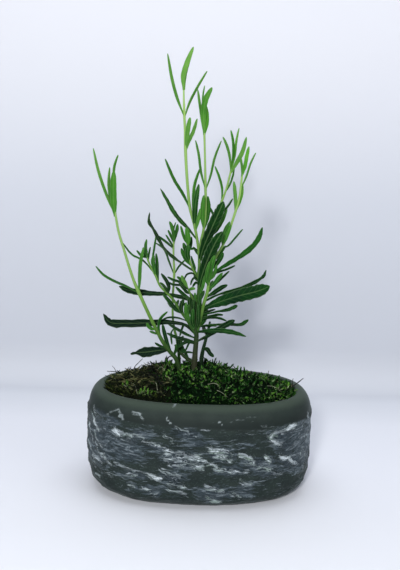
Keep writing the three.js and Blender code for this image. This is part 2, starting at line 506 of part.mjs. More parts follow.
const trunkLeaves = [
  [[[-4.1, 161.8], [-1.5, 172.5], [3.8, 186.3], [8.8, 198.4], [11.7, 205.6]],
    [2, 3.2, 5, 6.4, 7.2, 7.6, 7.4, 6.6, 5.4, 3.4], 14, [-1, -12]],
  [[[-3.7, 143.5], [-1.9, 152.4], [2, 164.5], [6.7, 176], [11.6, 184.6]],
    [2.4, 3.6, 5, 6.6, 7.8, 8.4, 8.4, 7.6, 6, 3.4], 12, [-1, -14]],
  [[[-4.8, 167], [-6.2, 169.3], [-8.4, 172.9]], 2, 45, [-0.5, 10]],
  [[[-4.8, 170.5], [-8, 171.8], [-10.4, 171.2]], 1.8, 45, [0, -8]],
  [[[-4.2, 150.5], [-8.6, 154], [-12.5, 153], [-14.4, 149.2]], 2, 55, [-1, -7]],
  [[[-3.8, 148.2], [-6.6, 151], [-8.7, 149], [-9.7, 145.2]], 2, 50, [-1, -9]],
  [[[-3.6, 145.8], [-5.9, 147.2], [-8.3, 144]], 2, 40, [-1, -6]],
  [[[-5, 132], [-11, 135.4], [-18, 137], [-26.6, 138.6]], 3.6, 38, [-1, 3]],
  [[[-5.2, 131.5], [-10, 135], [-15.5, 139.6], [-20, 143.9]], 2.8, 40, [-0.5, -7]],
  [[[-5.5, 113.5], [-7.3, 117.6], [-7.7, 122.5], [-7.2, 128.6]], 3.4, 20, [-0.5, -8]],
  [[[-4.6, 113], [-3.6, 117.5], [-3.4, 124], [-4, 132]], 3, 20, [-0.5, -8]],
  [[[-4.4, 133.2], [-5.8, 136], [-6.4, 140]], 2.2, 20, [-1, -6]],
  [[[-4.4, 109.5], [-12, 115.9], [-23.6, 118], [-38.9, 117], [-55, 116.2], [-66.5, 116.6], [-71.6, 123]],
    [2, 2.2, 2.4, 3.2, 4.6, 6, 5.6, 6.2, 4.4, 2], 14, [0, 3]],
  [[[-4.5, 106.5], [-12, 109.8], [-19, 113.5], [-25.2, 117]], 2.7, 42, [0, 3]],
  [[[-4.3, 104], [-12, 105.6], [-19, 107.2], [-25.8, 110]], 2.8, 36, [0, -1]],
  [[[-4.6, 102.8], [-10.5, 104], [-15.3, 101.6], [-17.3, 99.4]], 2.7, 36, [0, -7]],
  [[[-4.9, 95.6], [-9, 96.4], [-13, 96.2], [-16.3, 97]], 2.1, 50, [0, -2]],
  [[[-4.4, 102], [-9, 103.2], [-11, 99.4], [-12.7, 95.4]], 1.9, 55, [0, -4]],
  [[[-13, 93.5], [-15, 97.5], [-17.2, 103], [-17.2, 108]], 2.8, 22, [2.5, 3.5]],
  [[[-9, 90.8], [-11.6, 95.6], [-14, 99.6], [-15, 104.6]], 2.6, 30, [2, 4]],
  [[[-4.8, 103.4], [-0.5, 106.5], [3, 109]], 2, 50, [-0.5, -7]],
  [[[-5.6, 121], [-8.6, 125.6], [-9.6, 130.4], [-10.8, 136.6]], 3.6, 22, [-0.5, -7]],
  [[[-5.9, 119], [-7.4, 124], [-7, 129.5], [-7.4, 135]], 3, 18, [-0.5, -10]],
  [[[-5.6, 127], [-7, 131], [-9.6, 134.6], [-13, 137.4]], 2.8, 30, [-0.5, -5]],
  [[[-4.9, 111.5], [-7.2, 116], [-9.6, 120.4], [-11.4, 125.4]], 2.2, 34, [0, -4]],
  [[[-4.6, 126], [-3.3, 130], [-2.6, 135], [-2.8, 140]], 2.8, 20, [-0.5, -7]],
  [[[-3.8, 138], [-1.9, 142], [-0.5, 147], [0, 152.5]], 2.6, 24, [-1, -5]],
  [[[-5, 123], [-9, 128], [-13, 131], [-17, 133.4]], 2.6, 36, [0, 5.5]],
  [[[-5.8, 117], [-8.5, 118.8], [-9.4, 122]], 3.4, 20, [0, 24]],
  [[[-4.4, 133], [-7.2, 135.4], [-9.5, 139.5]], 3.4, 20, [-1, 26]],
  [[[-4.2, 134], [-2, 137], [0.4, 141.5]], 3.4, 20, [-1, 28]],
  [[[-3.8, 148], [-5.8, 151], [-6.8, 156]], 3.2, 20, [-1, 24]],
  [[[-3.6, 147], [-1, 150], [1.5, 154.5]], 3.2, 20, [-1, 27]],
  [[[-4.3, 166], [-3.4, 170], [-2, 176]], 3, 20, [-1, 20]],
  [[[-7.2, 183.5], [-7.6, 188], [-7, 194]], 3, 20, [0.5, 19]],
  [[[-2.6, 116], [0.4, 119], [2.6, 122.6]], 3.2, 20, [0, 24]],
  [[[2.4, 140.4], [4.4, 143.6], [6.2, 149]], 3.2, 20, [-2, 23]],
  [[[4.4, 156.2], [5.6, 160.4], [6.4, 166]], 3, 20, [-1, 21]],
];

const innerLeaves = [
  [[[-12.7, 172.6], [-12.4, 177.5], [-13, 182], [-14, 186.4]], 3.8, 15, [-2.5, -6]],
  [[[-12.8, 174.5], [-14.6, 178], [-16.3, 182.5], [-17.9, 187.4]], 2.5, 40, [-3, -1]],
  [[[-12.4, 170], [-10.7, 172.6], [-10, 180]], 2.8, 35, [-2.5, 6]],
  [[[-12, 166.5], [-14.1, 170.8], [-15.9, 175.4]], 3.2, 25, [-2.5, -9]],
  [[[-11.1, 163], [-12.5, 167], [-12.1, 174.4]], 3.8, 15, [-2, -9]],
  [[[-9.8, 159.6], [-12.4, 162.6], [-14.9, 166.5], [-17.1, 171.6]], 3.4, 30, [-2, 1]],
  [[[-7.3, 154.6], [-7, 157.5], [-8.3, 161.5], [-10, 166.4]], 2.2, 40, [-1.5, 5]],
  [[[-8, 155.6], [-18, 161.7], [-28.5, 170], [-36.5, 183], [-40.5, 190], [-40, 196.2]],
    [1.6, 2, 2.4, 2.7, 3, 3.2, 3.2, 2.8, 2.2, 1.2], 50, [-1.5, -8]],
];

const lowLeftLeaves = [
  [[[-35.8, 153.2], [-43.7, 162], [-51.6, 166], [-58.8, 174.4]], 2, 58, [-5, -2]],
  [[[-40.7, 163], [-41.8, 168], [-42.4, 172], [-41.6, 177.2]], 2.5, 35, [-6, -9]],
  [[[-40.8, 163.4], [-42.6, 166.5], [-44.3, 171]], 2.3, 35, [-6, -3]],
  [[[-40.2, 161.8], [-39.8, 166], [-38.8, 171.8]], 2, 55, [-6, -1]],
  [[[-41, 164.4], [-45, 165.6], [-48.3, 169.2]], 2, 50, [-6, -8]],
  [[[-34.7, 151], [-36, 157], [-36.9, 162], [-36.4, 166.3]], 3.2, 25, [-5, -8]],
  [[[-32.6, 146.8], [-33.4, 153.5], [-33.8, 160.5], [-34.8, 167.5]], 2.6, 35, [-4, 1]],
  [[[-37.8, 157], [-37.2, 165], [-36.3, 172], [-35.4, 179.8]], 2, 54, [-5, -1]],
  [[[-25.6, 138.4], [-37, 138.6], [-47, 139.3], [-54.5, 140.6], [-60.7, 143]],
    [2.4, 3, 3.6, 4.2, 4.8, 4.9, 4.7, 4.2, 3.2, 2], 22, [-3, 3]],
  [[[-15.2, 125], [-19.4, 127.4], [-24, 132.8], [-29, 138.4]], 3, 30, [-2, -8]],
  [[[-25.2, 138], [-26.9, 141.6], [-28.8, 144.2], [-31.6, 146.7]], 2.3, 34, [-3.5, -8]],
  [[[-25.4, 138.4], [-25, 143.4], [-27, 148.2], [-30.9, 153.2]], 3, 30, [-3.5, 1]],
  [[[-10.9, 119], [-18, 121.4], [-25, 121.4], [-30, 119.2]], 2, 54, [-1, 3]],
  [[[-8.6, 115.5], [-13.3, 116.4], [-15.3, 112], [-16.3, 107.6]], 2.1, 50, [-0.5, -5]],
  [[[-10.2, 118.4], [-12, 123], [-12.8, 128], [-12.4, 133]], 2.5, 25, [-1, -9]],
  [[[-9.2, 116.6], [-10.5, 121.5], [-11, 126.5], [-10.4, 131.6]], 2.4, 24, [-0.5, -6]],
  [[[-13.9, 123.6], [-15.9, 127.4], [-15.8, 131], [-14.2, 135.4]], 3.4, 22, [-1.5, -6]],
];

const smallLeaves = [
  [[[-13, 145.6], [-17.5, 147.6], [-22, 148.8], [-26.4, 150.8]], 2.3, 42, [0, -5]],
  [[[-12.7, 145], [-17.5, 145.2], [-22.5, 145.6], [-27, 147.6]], 2.2, 50, [0, 3]],
  [[[-13, 145.8], [-15.6, 148.6], [-19.2, 151.2]], 2.5, 40, [0, -4]],
  [[[-11.6, 142.6], [-13.4, 146.2], [-15.2, 149.2], [-16.4, 152]], 3, 26, [0, -9]],
  [[[-10.7, 141.4], [-8.8, 142.8], [-6.3, 143.2]], 2.6, 36, [0, -6]],
  [[[-11.4, 142.4], [-14.8, 144.8], [-17.7, 147.2]], 2.8, 34, [0, -9]],
  [[[-9.7, 139.2], [-12, 140.2], [-14.6, 143.2], [-18.4, 147.6]], 2.8, 36, [-0.5, 6]],
];

const thinLeaves = [
  [[[-22.5, 175], [-22.7, 181], [-24.1, 186], [-25.9, 190.3]], 2.9, 30, [10, 6]],
  [[[-22.4, 174.5], [-21.6, 180], [-20.4, 184.5], [-20.1, 188.6]], 2.9, 30, [10, 14]],
  [[[-22.6, 175.4], [-23.8, 178.8], [-26.8, 184.2]], 2.4, 40, [10, 17]],
  [[[-22.6, 172], [-25.2, 176], [-28.4, 180.8]], 2, 50, [10, 3]],
  [[[-22.4, 176.2], [-23, 183], [-21.4, 189.8]], 1.9, 60, [10, 18]],
  [[[-22.5, 171.5], [-28, 176], [-35, 180.7]], 2.2, 56, [10, 4]],
  [[[-21.6, 153.4], [-25, 161.5], [-29, 170.6], [-35.3, 175.2]], 2, 60, [11, 5]],
  [[[-21.5, 153.4], [-18.6, 158.5], [-13.9, 163.9]], 2, 60, [11, 17]],
  [[[-20.5, 113.8], [-22.6, 110], [-22.3, 105], [-21.7, 101.5]], 2, 56, [9, 5]],
  [[[-17.6, 102], [-15.4, 104.6], [-13.6, 108]], 2.8, 20, [8.2, 27]],
  [[[-21.8, 128], [-24, 131.2], [-26, 135.4]], 2.6, 20, [9.8, 28]],
  [[[-21.7, 127.2], [-19.4, 130], [-17.8, 134.4]], 2.6, 20, [9.8, 27]],
];

const darkLeaves = [
  [[[2.8, 107.6], [7.9, 111.5], [14.5, 115.7], [19.6, 118.9], [23.1, 120.8]],
    [2, 2.8, 3.4, 3.8, 4.2, 4.4, 4.2, 3.8, 3.2, 2.2], 18, [0.5, 3]],
  [[[4.9, 117], [12, 117.2], [20.7, 117.7], [27.5, 117.7], [33, 121.6]],
    [1.4, 1.5, 1.7, 1.9, 2, 2.1, 2.4, 2.9, 3, 2.4], 24, [0.8, 10]],
  [[[0.9, 98.6], [3.6, 98.8], [6, 95.9], [8.9, 93.2]], [2, 3, 3.4, 3.4, 2.8, 2], 22, [0, -5]],
  [[[4.5, 115.4], [7.2, 117], [10.4, 117.2]], 2.2, 50, [0.8, -3]],
  [[[4.4, 115], [2.8, 116.4], [1.3, 116.2]], 2, 45, [0.8, 7]],
  [[[2.5, 106], [0.8, 106.8], [-0.9, 105.6]], 2, 40, [0.3, 7]],
  [[[3.4, 109.6], [1.6, 112.6], [0.2, 116.6]], 3, 20, [0.5, 22]],
];

function plantSolid(rooted, branches, leaves) {
  const pieces = [
    ...branches.map((stations) => branchSolid(stations)),
    ...leaves.map((leaf) => leafSolid(leaf)),
  ];
  return pieces.reduce((plant, piece) => plant.add(piece), rootedSolid(rooted));
}

// The hole that a rooted stem stands in: its lowest stretch, wider by the gap
function stemHole(stations) {
  return rootedSolid(stations.slice(0, 3), fitGap);
}

const colours = {
  pot: { color: 0x3e4843, roughness: 0.75, metalness: 0 },
  soil: { color: 0x2a211a, roughness: 0.95, metalness: 0 },
  mossGreen: { color: 0x2c4a14, roughness: 0.9, metalness: 0 },
  mossBrown: { color: 0x4a4222, roughness: 0.95, metalness: 0 },
  youngShoot: { color: 0x6f9a3a, roughness: 0.6, metalness: 0 },
  matureShoot: { color: 0x2f5a2b, roughness: 0.6, metalness: 0 },
  darkShoot: { color: 0x1f4a2b, roughness: 0.6, metalness: 0 },
};

const part = new THREE.Group();

function addPiece(name, geometry, colour) {
  const piece = new THREE.Mesh(geometry, new THREE.MeshStandardMaterial(colour));
  piece.name = name;
  part.add(piece);
}

const rootedStems = [leftStem, trunk, thinStem, darkStem];
const stemHoles = rootedStems.map((stations) => stemHole(stations));
const moss = makeMoss(stemHoles);

addPiece('pot', makePot(), colours.pot);
addPiece('potting_soil', makeSoil(stemHoles), colours.soil);
addPiece('moss_green', moss.green, colours.mossGreen);
addPiece('moss_brown', moss.brown, colours.mossBrown);

addPiece('left_leafy_stem', toGeometry(plantSolid(leftStem, [], leftLeaves)), colours.youngShoot);
const trunkBranches = [
  centreShoot, backShoot, rightShoot, innerShoot, lowLeftShoot, smallShoot, baseTwig,
];
const mainLeaves = [
  ...tallLeaves, ...centreLeaves, ...backLeaves, ...rightLeaves, ...trunkLeaves, ...innerLeaves,
  ...lowLeftLeaves, ...smallLeaves,
];
addPiece('main_leafy_stem', toGeometry(plantSolid(trunk, trunkBranches, mainLeaves)), colours.matureShoot);
addPiece('thin_leafy_stem', toGeometry(plantSolid(thinStem, [], thinLeaves)), colours.matureShoot);
addPiece('right_leafy_stem', toGeometry(plantSolid(darkStem, [], darkLeaves)), colours.darkShoot);

export default part;
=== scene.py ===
import math
import random

import bpy
import numpy as np
from mathutils import Matrix, Vector, noise


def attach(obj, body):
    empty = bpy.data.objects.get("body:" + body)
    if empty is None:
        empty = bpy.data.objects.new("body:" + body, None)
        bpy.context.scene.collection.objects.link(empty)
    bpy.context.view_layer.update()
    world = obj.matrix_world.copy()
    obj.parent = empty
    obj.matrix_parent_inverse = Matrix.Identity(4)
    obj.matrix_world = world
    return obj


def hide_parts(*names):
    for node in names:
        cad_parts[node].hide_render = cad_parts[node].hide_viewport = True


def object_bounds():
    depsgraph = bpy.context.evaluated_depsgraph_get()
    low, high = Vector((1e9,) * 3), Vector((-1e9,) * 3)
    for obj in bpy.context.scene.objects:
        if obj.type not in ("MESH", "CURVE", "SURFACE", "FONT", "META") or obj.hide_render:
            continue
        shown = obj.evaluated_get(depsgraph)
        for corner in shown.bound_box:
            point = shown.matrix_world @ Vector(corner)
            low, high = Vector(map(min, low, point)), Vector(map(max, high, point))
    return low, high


# A young lavender in a brush-coated oval pot topped with moss.
# Plans are in millimetres, as in the part's source, and mm turns them into metres.

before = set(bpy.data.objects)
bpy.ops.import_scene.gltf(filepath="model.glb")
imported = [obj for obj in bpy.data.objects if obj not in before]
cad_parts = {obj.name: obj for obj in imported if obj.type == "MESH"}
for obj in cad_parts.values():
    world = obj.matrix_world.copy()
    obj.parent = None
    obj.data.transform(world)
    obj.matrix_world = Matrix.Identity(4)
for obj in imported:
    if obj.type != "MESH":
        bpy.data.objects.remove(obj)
cadBox = [list(corner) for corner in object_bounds()]
mm = 0.001


# Small helpers for pieces

def mode(name):
    bpy.ops.object.mode_set(mode=name)


def activate(piece):
    bpy.ops.object.select_all(action="DESELECT")
    piece.select_set(True)
    bpy.context.view_layer.objects.active = piece


def settle(piece):
    # the place goes into the mesh and the object stays at the origin
    activate(piece)
    bpy.ops.object.transform_apply(location=True, rotation=True, scale=True)


def copyOf(master, place=None):
    # a copy with its own mesh, settled at the place if one is given
    piece = master.copy()
    piece.data = master.data.copy()
    bpy.context.collection.objects.link(piece)
    if place is not None:
        piece.matrix_world = place
        settle(piece)
    return piece


def joined(pieces, name):
    activate(pieces[0])
    for piece in pieces:
        piece.select_set(True)
    if len(pieces) > 1:
        bpy.ops.object.join()
    result = bpy.context.object
    result.name = result.data.name = name
    return result


def remove(*pieces):
    for piece in pieces:
        mesh = piece.data
        bpy.data.objects.remove(piece)
        bpy.data.meshes.remove(mesh)


def smoothed(piece):
    activate(piece)
    bpy.ops.object.shade_smooth()


def outwards(piece):
    # doubled points are merged and every face looks out
    activate(piece)
    mode("EDIT")
    bpy.ops.mesh.select_all(action="SELECT")
    bpy.ops.mesh.remove_doubles(threshold=0.01 * mm)
    bpy.ops.mesh.normals_make_consistent(inside=False)
    mode("OBJECT")


def pick(mesh, kind, test):
    # the active piece goes into edit mode with the parts selected that pass the test
    mode("EDIT")
    bpy.ops.mesh.select_mode(type=kind)
    bpy.ops.mesh.select_all(action="DESELECT")
    mode("OBJECT")
    for part in {"VERT": mesh.vertices, "EDGE": mesh.edges, "FACE": mesh.polygons}[kind]:
        part.select = test(part)
    mode("EDIT")


def extrude(height):
    bpy.ops.mesh.extrude_region_move(TRANSFORM_OT_translate={"value": (0, 0, height * mm)})


def setMarks(piece, **marks):
    # numbers for every point of a piece, or one number for all of them
    layers = piece.data.attributes
    for name, values in marks.items():
        layer = layers.get(name) or layers.new(name, "FLOAT", "POINT")
        layer.data.foreach_set("value", np.full(len(piece.data.vertices), values, "f"))


def turned(angle, axis):
    return Matrix.Rotation(angle, 4, axis)


def ease(low, high, value):
    share = min(max((value - low) / (high - low), 0), 1)
    return share * share * (3 - 2 * share)


# Camera and light

view = {
    "place": (-16.2, -528.9, 225.4), "aim": (-2.9, 0.0, 145.6), "lens": 47.37,
    "roll": 1.95,  # degrees, its right side raised
}
studio = {
    "wallBehind": 262,  # from the pot's middle to the wall
    "floor": (5000, 2400), "wallHeight": 2200, "cornerRadius": 40, "lightsAim": (0, 0, 120),
    "keyLight": {"place": (-190, -1000, 480), "size": 0.12, "power": 9.6, "tint": (1.0, 0.99, 0.97)},
    "fillLight": {"place": (700, -500, 620), "size": 0.9, "power": 1.5, "tint": (0.95, 0.97, 1.0)},
    "topLight": {"place": (0, -60, 1100), "size": 1.1, "power": 5.6, "tint": (0.97, 0.98, 1.0)},
    "world": (0.86, 0.9, 1.0, 1), "worldStrength": 0.2,
}

bpy.ops.object.camera_add(location=Vector(view["place"]) * mm)
camera = bpy.context.object
sight = (Vector(view["aim"]) - Vector(view["place"])).to_track_quat("-Z", "Y").to_matrix()
camera.rotation_euler = (sight @ Matrix.Rotation(math.radians(view["roll"]), 3, "Z")).to_euler()
camera.data.lens = view["lens"]
camera.data.clip_start = 0.02
bpy.context.scene.camera = camera

for name in ["keyLight", "fillLight", "topLight"]:
    plan = studio[name]
    place = Vector(plan["place"]) * mm
    bpy.ops.object.light_add(type="AREA", location=place)
    light = bpy.context.object
    light.name = name
    light.data.shape = "DISK"
    light.data.size = plan["size"]
    light.data.energy = plan["power"]
    light.data.color = plan["tint"]
    light.rotation_euler = (Vector(studio["lightsAim"]) * mm - place).to_track_quat("-Z", "Y").to_euler()

world = bpy.data.worlds.new("paleRoom")
bpy.context.scene.world = world
world.use_nodes = True
background = world.node_tree.nodes["Background"]
background.inputs["Color"].default_value = studio["world"]
background.inputs["Strength"].default_value = studio["worldStrength"]
bpy.context.scene.view_settings.view_transform = "Standard"


# Helpers for materials. They add their nodes to the tree under work, the one made last.

work = {}


class Value:
    # an output to reckon with, where each sign adds a Math node
    def __init__(self, socket):
        self.socket = socket

    def __add__(self, other):
        return maths("ADD", self, other)

    def __sub__(self, other):
        return maths("SUBTRACT", self, other)

    def __rsub__(self, other):
        return maths("SUBTRACT", other, self)

    def __mul__(self, other):
        return maths("MULTIPLY", self, other)

    def __abs__(self):
        return maths("ABSOLUTE", self)


def rgb(red, green, blue):
    # a colour as a picture editor shows it, turned into the linear one that shaders take
    def linear(part):
        part = part / 255
        return part / 12.92 if part <= 0.04045 else ((part + 0.055) / 1.055) ** 2.4
    return (linear(red), linear(green), linear(blue), 1)


def feed(inputs, values):
    # links and constants for a node, where three numbers are a colour as rgb takes it
    for name, value in values.items():
        socket = inputs[name]
        if isinstance(value, Value):
            work["tree"].links.new(value.socket, socket)
        elif socket.type == "RGBA" and len(value) == 3:
            socket.default_value = rgb(*value)
        else:
            socket.default_value = value


def newNode(kind, values={}, **settings):
    node = work["tree"].nodes.new(kind)
    for name, value in settings.items():
        setattr(node, name, value)
    feed(node.inputs, values)
    return node


def put(kind, output, values={}, **settings):
    return Value(newNode(kind, values, **settings).outputs[output])


def maths(operation, *values):
    return put("ShaderNodeMath", 0, dict(enumerate(values)), operation=operation)


def between(value, low, high, toLow=0.0, toHigh=1.0):
    ends = {"Value": value, "From Min": low, "From Max": high, "To Min": toLow, "To Max": toHigh}
    return put("ShaderNodeMapRange", "Result", ends, interpolation_type="SMOOTHSTEP")


def blended(share, first, second):
    return put("ShaderNodeMix", 2, {0: share, 6: first, 7: second}, data_type="RGBA")


def layered(colour, *layers):
    # each layer is its share and its colour
    for share, tone in layers:
        colour = blended(share, colour, tone)
    return colour


def ramp(value, *stops):
    # each stop is its place and its colour's three parts
    node = newNode("ShaderNodeValToRGB", {"Fac": value})
    points = node.color_ramp.elements
    while len(points) < len(stops):
        points.new(1.0)
    for point, (place, *colour) in zip(points, stops):
        point.position = place
        point.color = rgb(*colour)
    return Value(node.outputs["Color"])


def partsOf(vector):
    return [Value(part) for part in newNode("ShaderNodeSeparateXYZ", {"Vector": vector}).outputs]


def speckle(vector, scale, detail=3.0, roughness=0.55, distortion=0.0):
    return put("ShaderNodeTexNoise", "Fac", {
        "Vector": vector, "Scale": scale, "Detail": detail, "Roughness": roughness,
        "Distortion": distortion})


def mark(name):
    return put("ShaderNodeAttribute", "Fac", attribute_name=name)


def paint(**values):
    feed(work["shader"].inputs, {name.replace("_", " "): value for name, value in values.items()})


def newMaterial(name, **constants):
    # work gets the material, its tree, its shader and Object coordinates in millimetres
    work["material"] = bpy.data.materials.new(name)
    work["material"].use_nodes = True
    work["tree"] = work["material"].node_tree
    work["shader"] = work["tree"].nodes["Principled BSDF"]
    paint(**constants)
    place = put("ShaderNodeTexCoord", "Object")
    work["place"] = put("ShaderNodeMapping", "Vector", {"Vector": place, "Scale": [1 / mm] * 3})


def finished(colour, height, strength, distance, piece=None):
    # the material gets its colour and its relief, and goes onto the piece
    paint(Base_Color=colour, Normal=put("ShaderNodeBump", "Normal", {
        "Height": height, "Strength": strength, "Distance": distance * mm}))
    if piece:
        piece.data.materials.append(work["material"])
    return work["material"]


def newGroup(name, outputs, **inputs):
    # a group that takes a vector and some values, and what they are inside it
    group = work["tree"] = bpy.data.node_groups.new(name, "ShaderNodeTree")
    group.interface.new_socket("Vector", in_out="INPUT", socket_type="NodeSocketVector")
    for label, value in inputs.items():
        socket = group.interface.new_socket(label, in_out="INPUT", socket_type="NodeSocketFloat")
        socket.default_value = value
    for label in outputs:
        group.interface.new_socket(label, in_out="OUTPUT", socket_type="NodeSocketFloat")
    sockets = group.nodes.new("NodeGroupInput").outputs
    return [group, *[Value(sockets[label]) for label in ["Vector", *inputs]]]


def useGroup(group, output=None, **values):
    # one output of a group, or all of them by name
    outputs = newNode("ShaderNodeGroup", {"Vector": work["place"], **values}, node_tree=group).outputs
    return Value(outputs[output]) if output else {socket.name: Value(socket) for socket in outputs}


def mottled(coarse, fine):
    return useGroup(mottle, Coarse=coarse, Fine=fine)


# streaks that a brush leaves: long along the wall, short in height, waved by a slow warp
brushStreaks, vector, length, height, warp, curl, seed = newGroup(
    "brushStreaks", ["Streak"], Length=0.05, Height=0.5, Warp=1.5, Curl=0.0, Seed=0.0)
x, y, z = partsOf(vector)
lift = (speckle(vector, 0.06, 1.0) - 0.5) * warp
place = put("ShaderNodeCombineXYZ", "Vector", {
    "X": x * length + seed, "Y": y * length, "Z": z * height + lift})
newNode("NodeGroupOutput", {"Streak": speckle(place, 1.0, 4.0, 0.6, curl)})

# a small, uneven mottle in two sizes, for anything cast, grown or earthy
mottle, vector, coarse, fine = newGroup("mottle", ["Shade", "Grain"], Coarse=0.1, Fine=1.2)
grain = speckle(vector, fine, 2.0, 0.6)
newNode("NodeGroupOutput", {"Shade": grain * 0.3 + speckle(vector, coarse, 3.0, 0.5) * 0.7, "Grain": grain})


# The stage: a floor that sweeps up into a wall, paler towards the top and the front and darker in the
# corner, as painted light and shade

bpy.ops.mesh.primitive_plane_add(size=mm)
sweep = bpy.context.object
sweep.name = "sweep"
sweep.scale = (*studio["floor"], 1)
sweep.location = (0, (studio["wallBehind"] - studio["floor"][1] / 2) * mm, 0)
settle(sweep)


def alongWall(edge):
    points = [sweep.data.vertices[index].co for index in edge.vertices]
    return all(point.y > 0.1 and point.z < 0.1 for point in points)


pick(sweep.data, "EDGE", alongWall)
extrude(studio["wallHeight"])
pick(sweep.data, "EDGE", alongWall)
bpy.ops.mesh.bevel(offset=studio["cornerRadius"] * mm, segments=14)
# every face looks in to the object
pick(sweep.data, "FACE", lambda face: face.normal.dot(Vector((0, -1, 1))) < 0)
bpy.ops.mesh.flip_normals()
bpy.ops.mesh.select_mode(type="EDGE")
mode("OBJECT")
smoothed(sweep)

newMaterial("paleSweep", Roughness=0.85)
x, y, z = partsOf(work["place"])
# how far a point is up the wall, or forwards on the floor; the ramps paint the light, paler up the wall and
# towards the front, with painted shade low in the corner
rise = ramp(between(z, 0, 420), (0.0, 194, 198, 207), (0.45, 202, 206, 215), (1.0, 222, 224, 231))
reach = ramp(between(y, 262, -200), (0.0, 202, 206, 215), (0.05, 216, 220, 228), (0.2, 225, 228, 236),
             (0.55, 225, 228, 236), (1.0, 225, 228, 235))
paint(Base_Color=blended(between(z, 5, 30), reach, rise))
# the wall is clear from behind, so that the plant can be looked at from there too
clear = put("ShaderNodeBsdfTransparent", "BSDF")
backfacing = put("ShaderNodeNewGeometry", "Backfacing")
opaque = Value(work["shader"].outputs["BSDF"])
oneSided = put("ShaderNodeMixShader", "Shader", {0: backfacing, 1: opaque, 2: clear})
feed(work["tree"].nodes["Material Output"].inputs, {"Surface": oneSided})
sweep.data.materials.append(work["material"])

# beyond the floor's ends the room looks paler than the light it gives
work["tree"] = world.node_tree
shown = put("ShaderNodeBackground", "Background", {"Color": (172, 175, 182)})
isSeen = put("ShaderNodeLightPath", "Is Camera Ray")
room = Value(background.outputs["Background"])
looks = put("ShaderNodeMixShader", "Shader", {0: isSeen, 1: room, 2: shown})
feed(world.node_tree.nodes["World Output"].inputs, {"Surface": looks})
print("stage, camera and light are set")


# Paths and values along a plan

def seen(x, z, depth):
    eye = Vector(plant["eye"])
    reach = (depth - eye.y) / -eye.y
    return (Vector((x, 0, z)) - eye) * reach + eye


def valueAlong(values, share):
    if not isinstance(values, (list, tuple)):
        return values
    place = min(max(share, 0), 1) * (len(values) - 1)
    first = min(int(place), len(values) - 2)
    return values[first] + (values[first + 1] - values[first]) * (place - first)


def pathPoint(points, share):
    # a smooth path through the points, evenly rounded however far apart they are
    place = min(max(share, 0), 1) * (len(points) - 1)
    first = min(int(place), len(points) - 2)
    t = place - first
    b, c = points[first], points[first + 1]
    a = points[first - 1] if first > 0 else b * 2 - c
    d = points[first + 2] if first + 2 < len(points) else c * 2 - b
    ab, bc, cd = [max((q - p).length ** 0.5, 0.0001) for p, q in ((a, b), (b, c), (c, d))]
    slopeB = ((b - a) / ab - (c - a) / (ab + bc) + (c - b) / bc) * bc
    slopeC = ((c - b) / bc - (d - b) / (bc + cd) + (d - c) / cd) * bc
    return (b * (2 * t ** 3 - 3 * t ** 2 + 1) + slopeB * (t ** 3 - 2 * t ** 2 + t)
            + c * (3 * t ** 2 - 2 * t ** 3) + slopeC * (t ** 3 - t ** 2))


# The pot: an oval bowl drawn up ring by ring, with a rounded rim and a coat put on with a brush

pot = {
    "length": 160, "depth": 112, "height": 72, "around": 400,
    "planPower": 2.36,  # the exponent of the superellipse in plan
    # the wall's profile as height and inset
    "wall": [(0, 12.6), (3, 7.6), (5.5, 5.2), (8, 3.3), (14, 1.5), (22, 0.5), (31, 0), (60, 0)],
    "wallSteps": 57, "wallRounding": 1.6, "rimStart": 60, "rimSteps": 12, "rimInset": 8.2,
    # the inside as inset and height, down to the middle of its floor
    "bowl": [(9.6, 72), (10.3, 71.8), (10.8, 71.3), (11.2, 69.5), (10.9, 61.7), (10.5, 40), (11.5, 20),
             (14, 12), (20, 8)],
    "coatProud": 0.8, "coatRelief": 0.45,
    "markSpread": 1.5,  # how far a mark fades, as a share of its half width
    "halfFront": 80,  # millimetres round the wall, where it turns away at each end
    "backStart": 96,
}


def ovalXY(angle, inset):
    along, across = np.cos(angle), np.sin(angle)
    power = 2 / pot["planPower"]
    x = (pot["length"] / 2 - inset) * np.sign(along) * np.abs(along) ** power
    y = (pot["depth"] / 2 - inset) * np.sign(across) * np.abs(across) ** power
    return x, y


# how far round the outline each angle lies, in millimetres
outlineAngles = np.linspace(0, 2 * math.pi, 8001)
stepX, stepY = [np.diff(side) for side in ovalXY(outlineAngles, 0)]
outlineRuns = np.concatenate([[0], np.cumsum(np.hypot(stepX, stepY))])


def evenOval(count, inset):
    # points spaced evenly along the outline
    runs = np.arange(count) / count * outlineRuns[-1]
    return ovalXY(np.interp(runs, outlineRuns, outlineAngles), inset)


def wallInset(height):
    # the wall's profile with its corners rounded off
    heights, insets = zip(*pot["wall"])
    reach = min(pot["wallRounding"], height * 0.6)
    return float(np.mean(np.interp(np.linspace(height - reach, height + reach, 9), heights, insets)))


def ovalStart(name, count, inset, height):
    # a circle primitive, pulled out to the oval plan and left in edit mode
    bpy.ops.mesh.primitive_circle_add(vertices=count, radius=1, fill_type="NOTHING")
    piece = bpy.context.object
    piece.name = name
    settle(piece)
    for vertex, x, y in zip(piece.data.vertices, *evenOval(count, inset)):
        vertex.co = Vector((x, y, height)) * mm
    mode("EDIT")
    bpy.ops.mesh.select_all(action="SELECT")
    return piece


def drawIn(shareX, shareY):
    bpy.ops.transform.resize(value=(shareX, shareY, 1), center_override=(0, 0, 0))


def closed(piece, foot):
    # the last ring is drawn together to a point, and the foot's ring gets a face
    extrude(0)
    bpy.ops.mesh.merge(type="CENTER")
    pick(piece.data, "VERT", lambda vertex: abs(vertex.co.z / mm - foot) < 0.01)
    bpy.ops.mesh.edge_face_add()
    bpy.ops.mesh.select_all(action="DESELECT")
    mode("OBJECT")


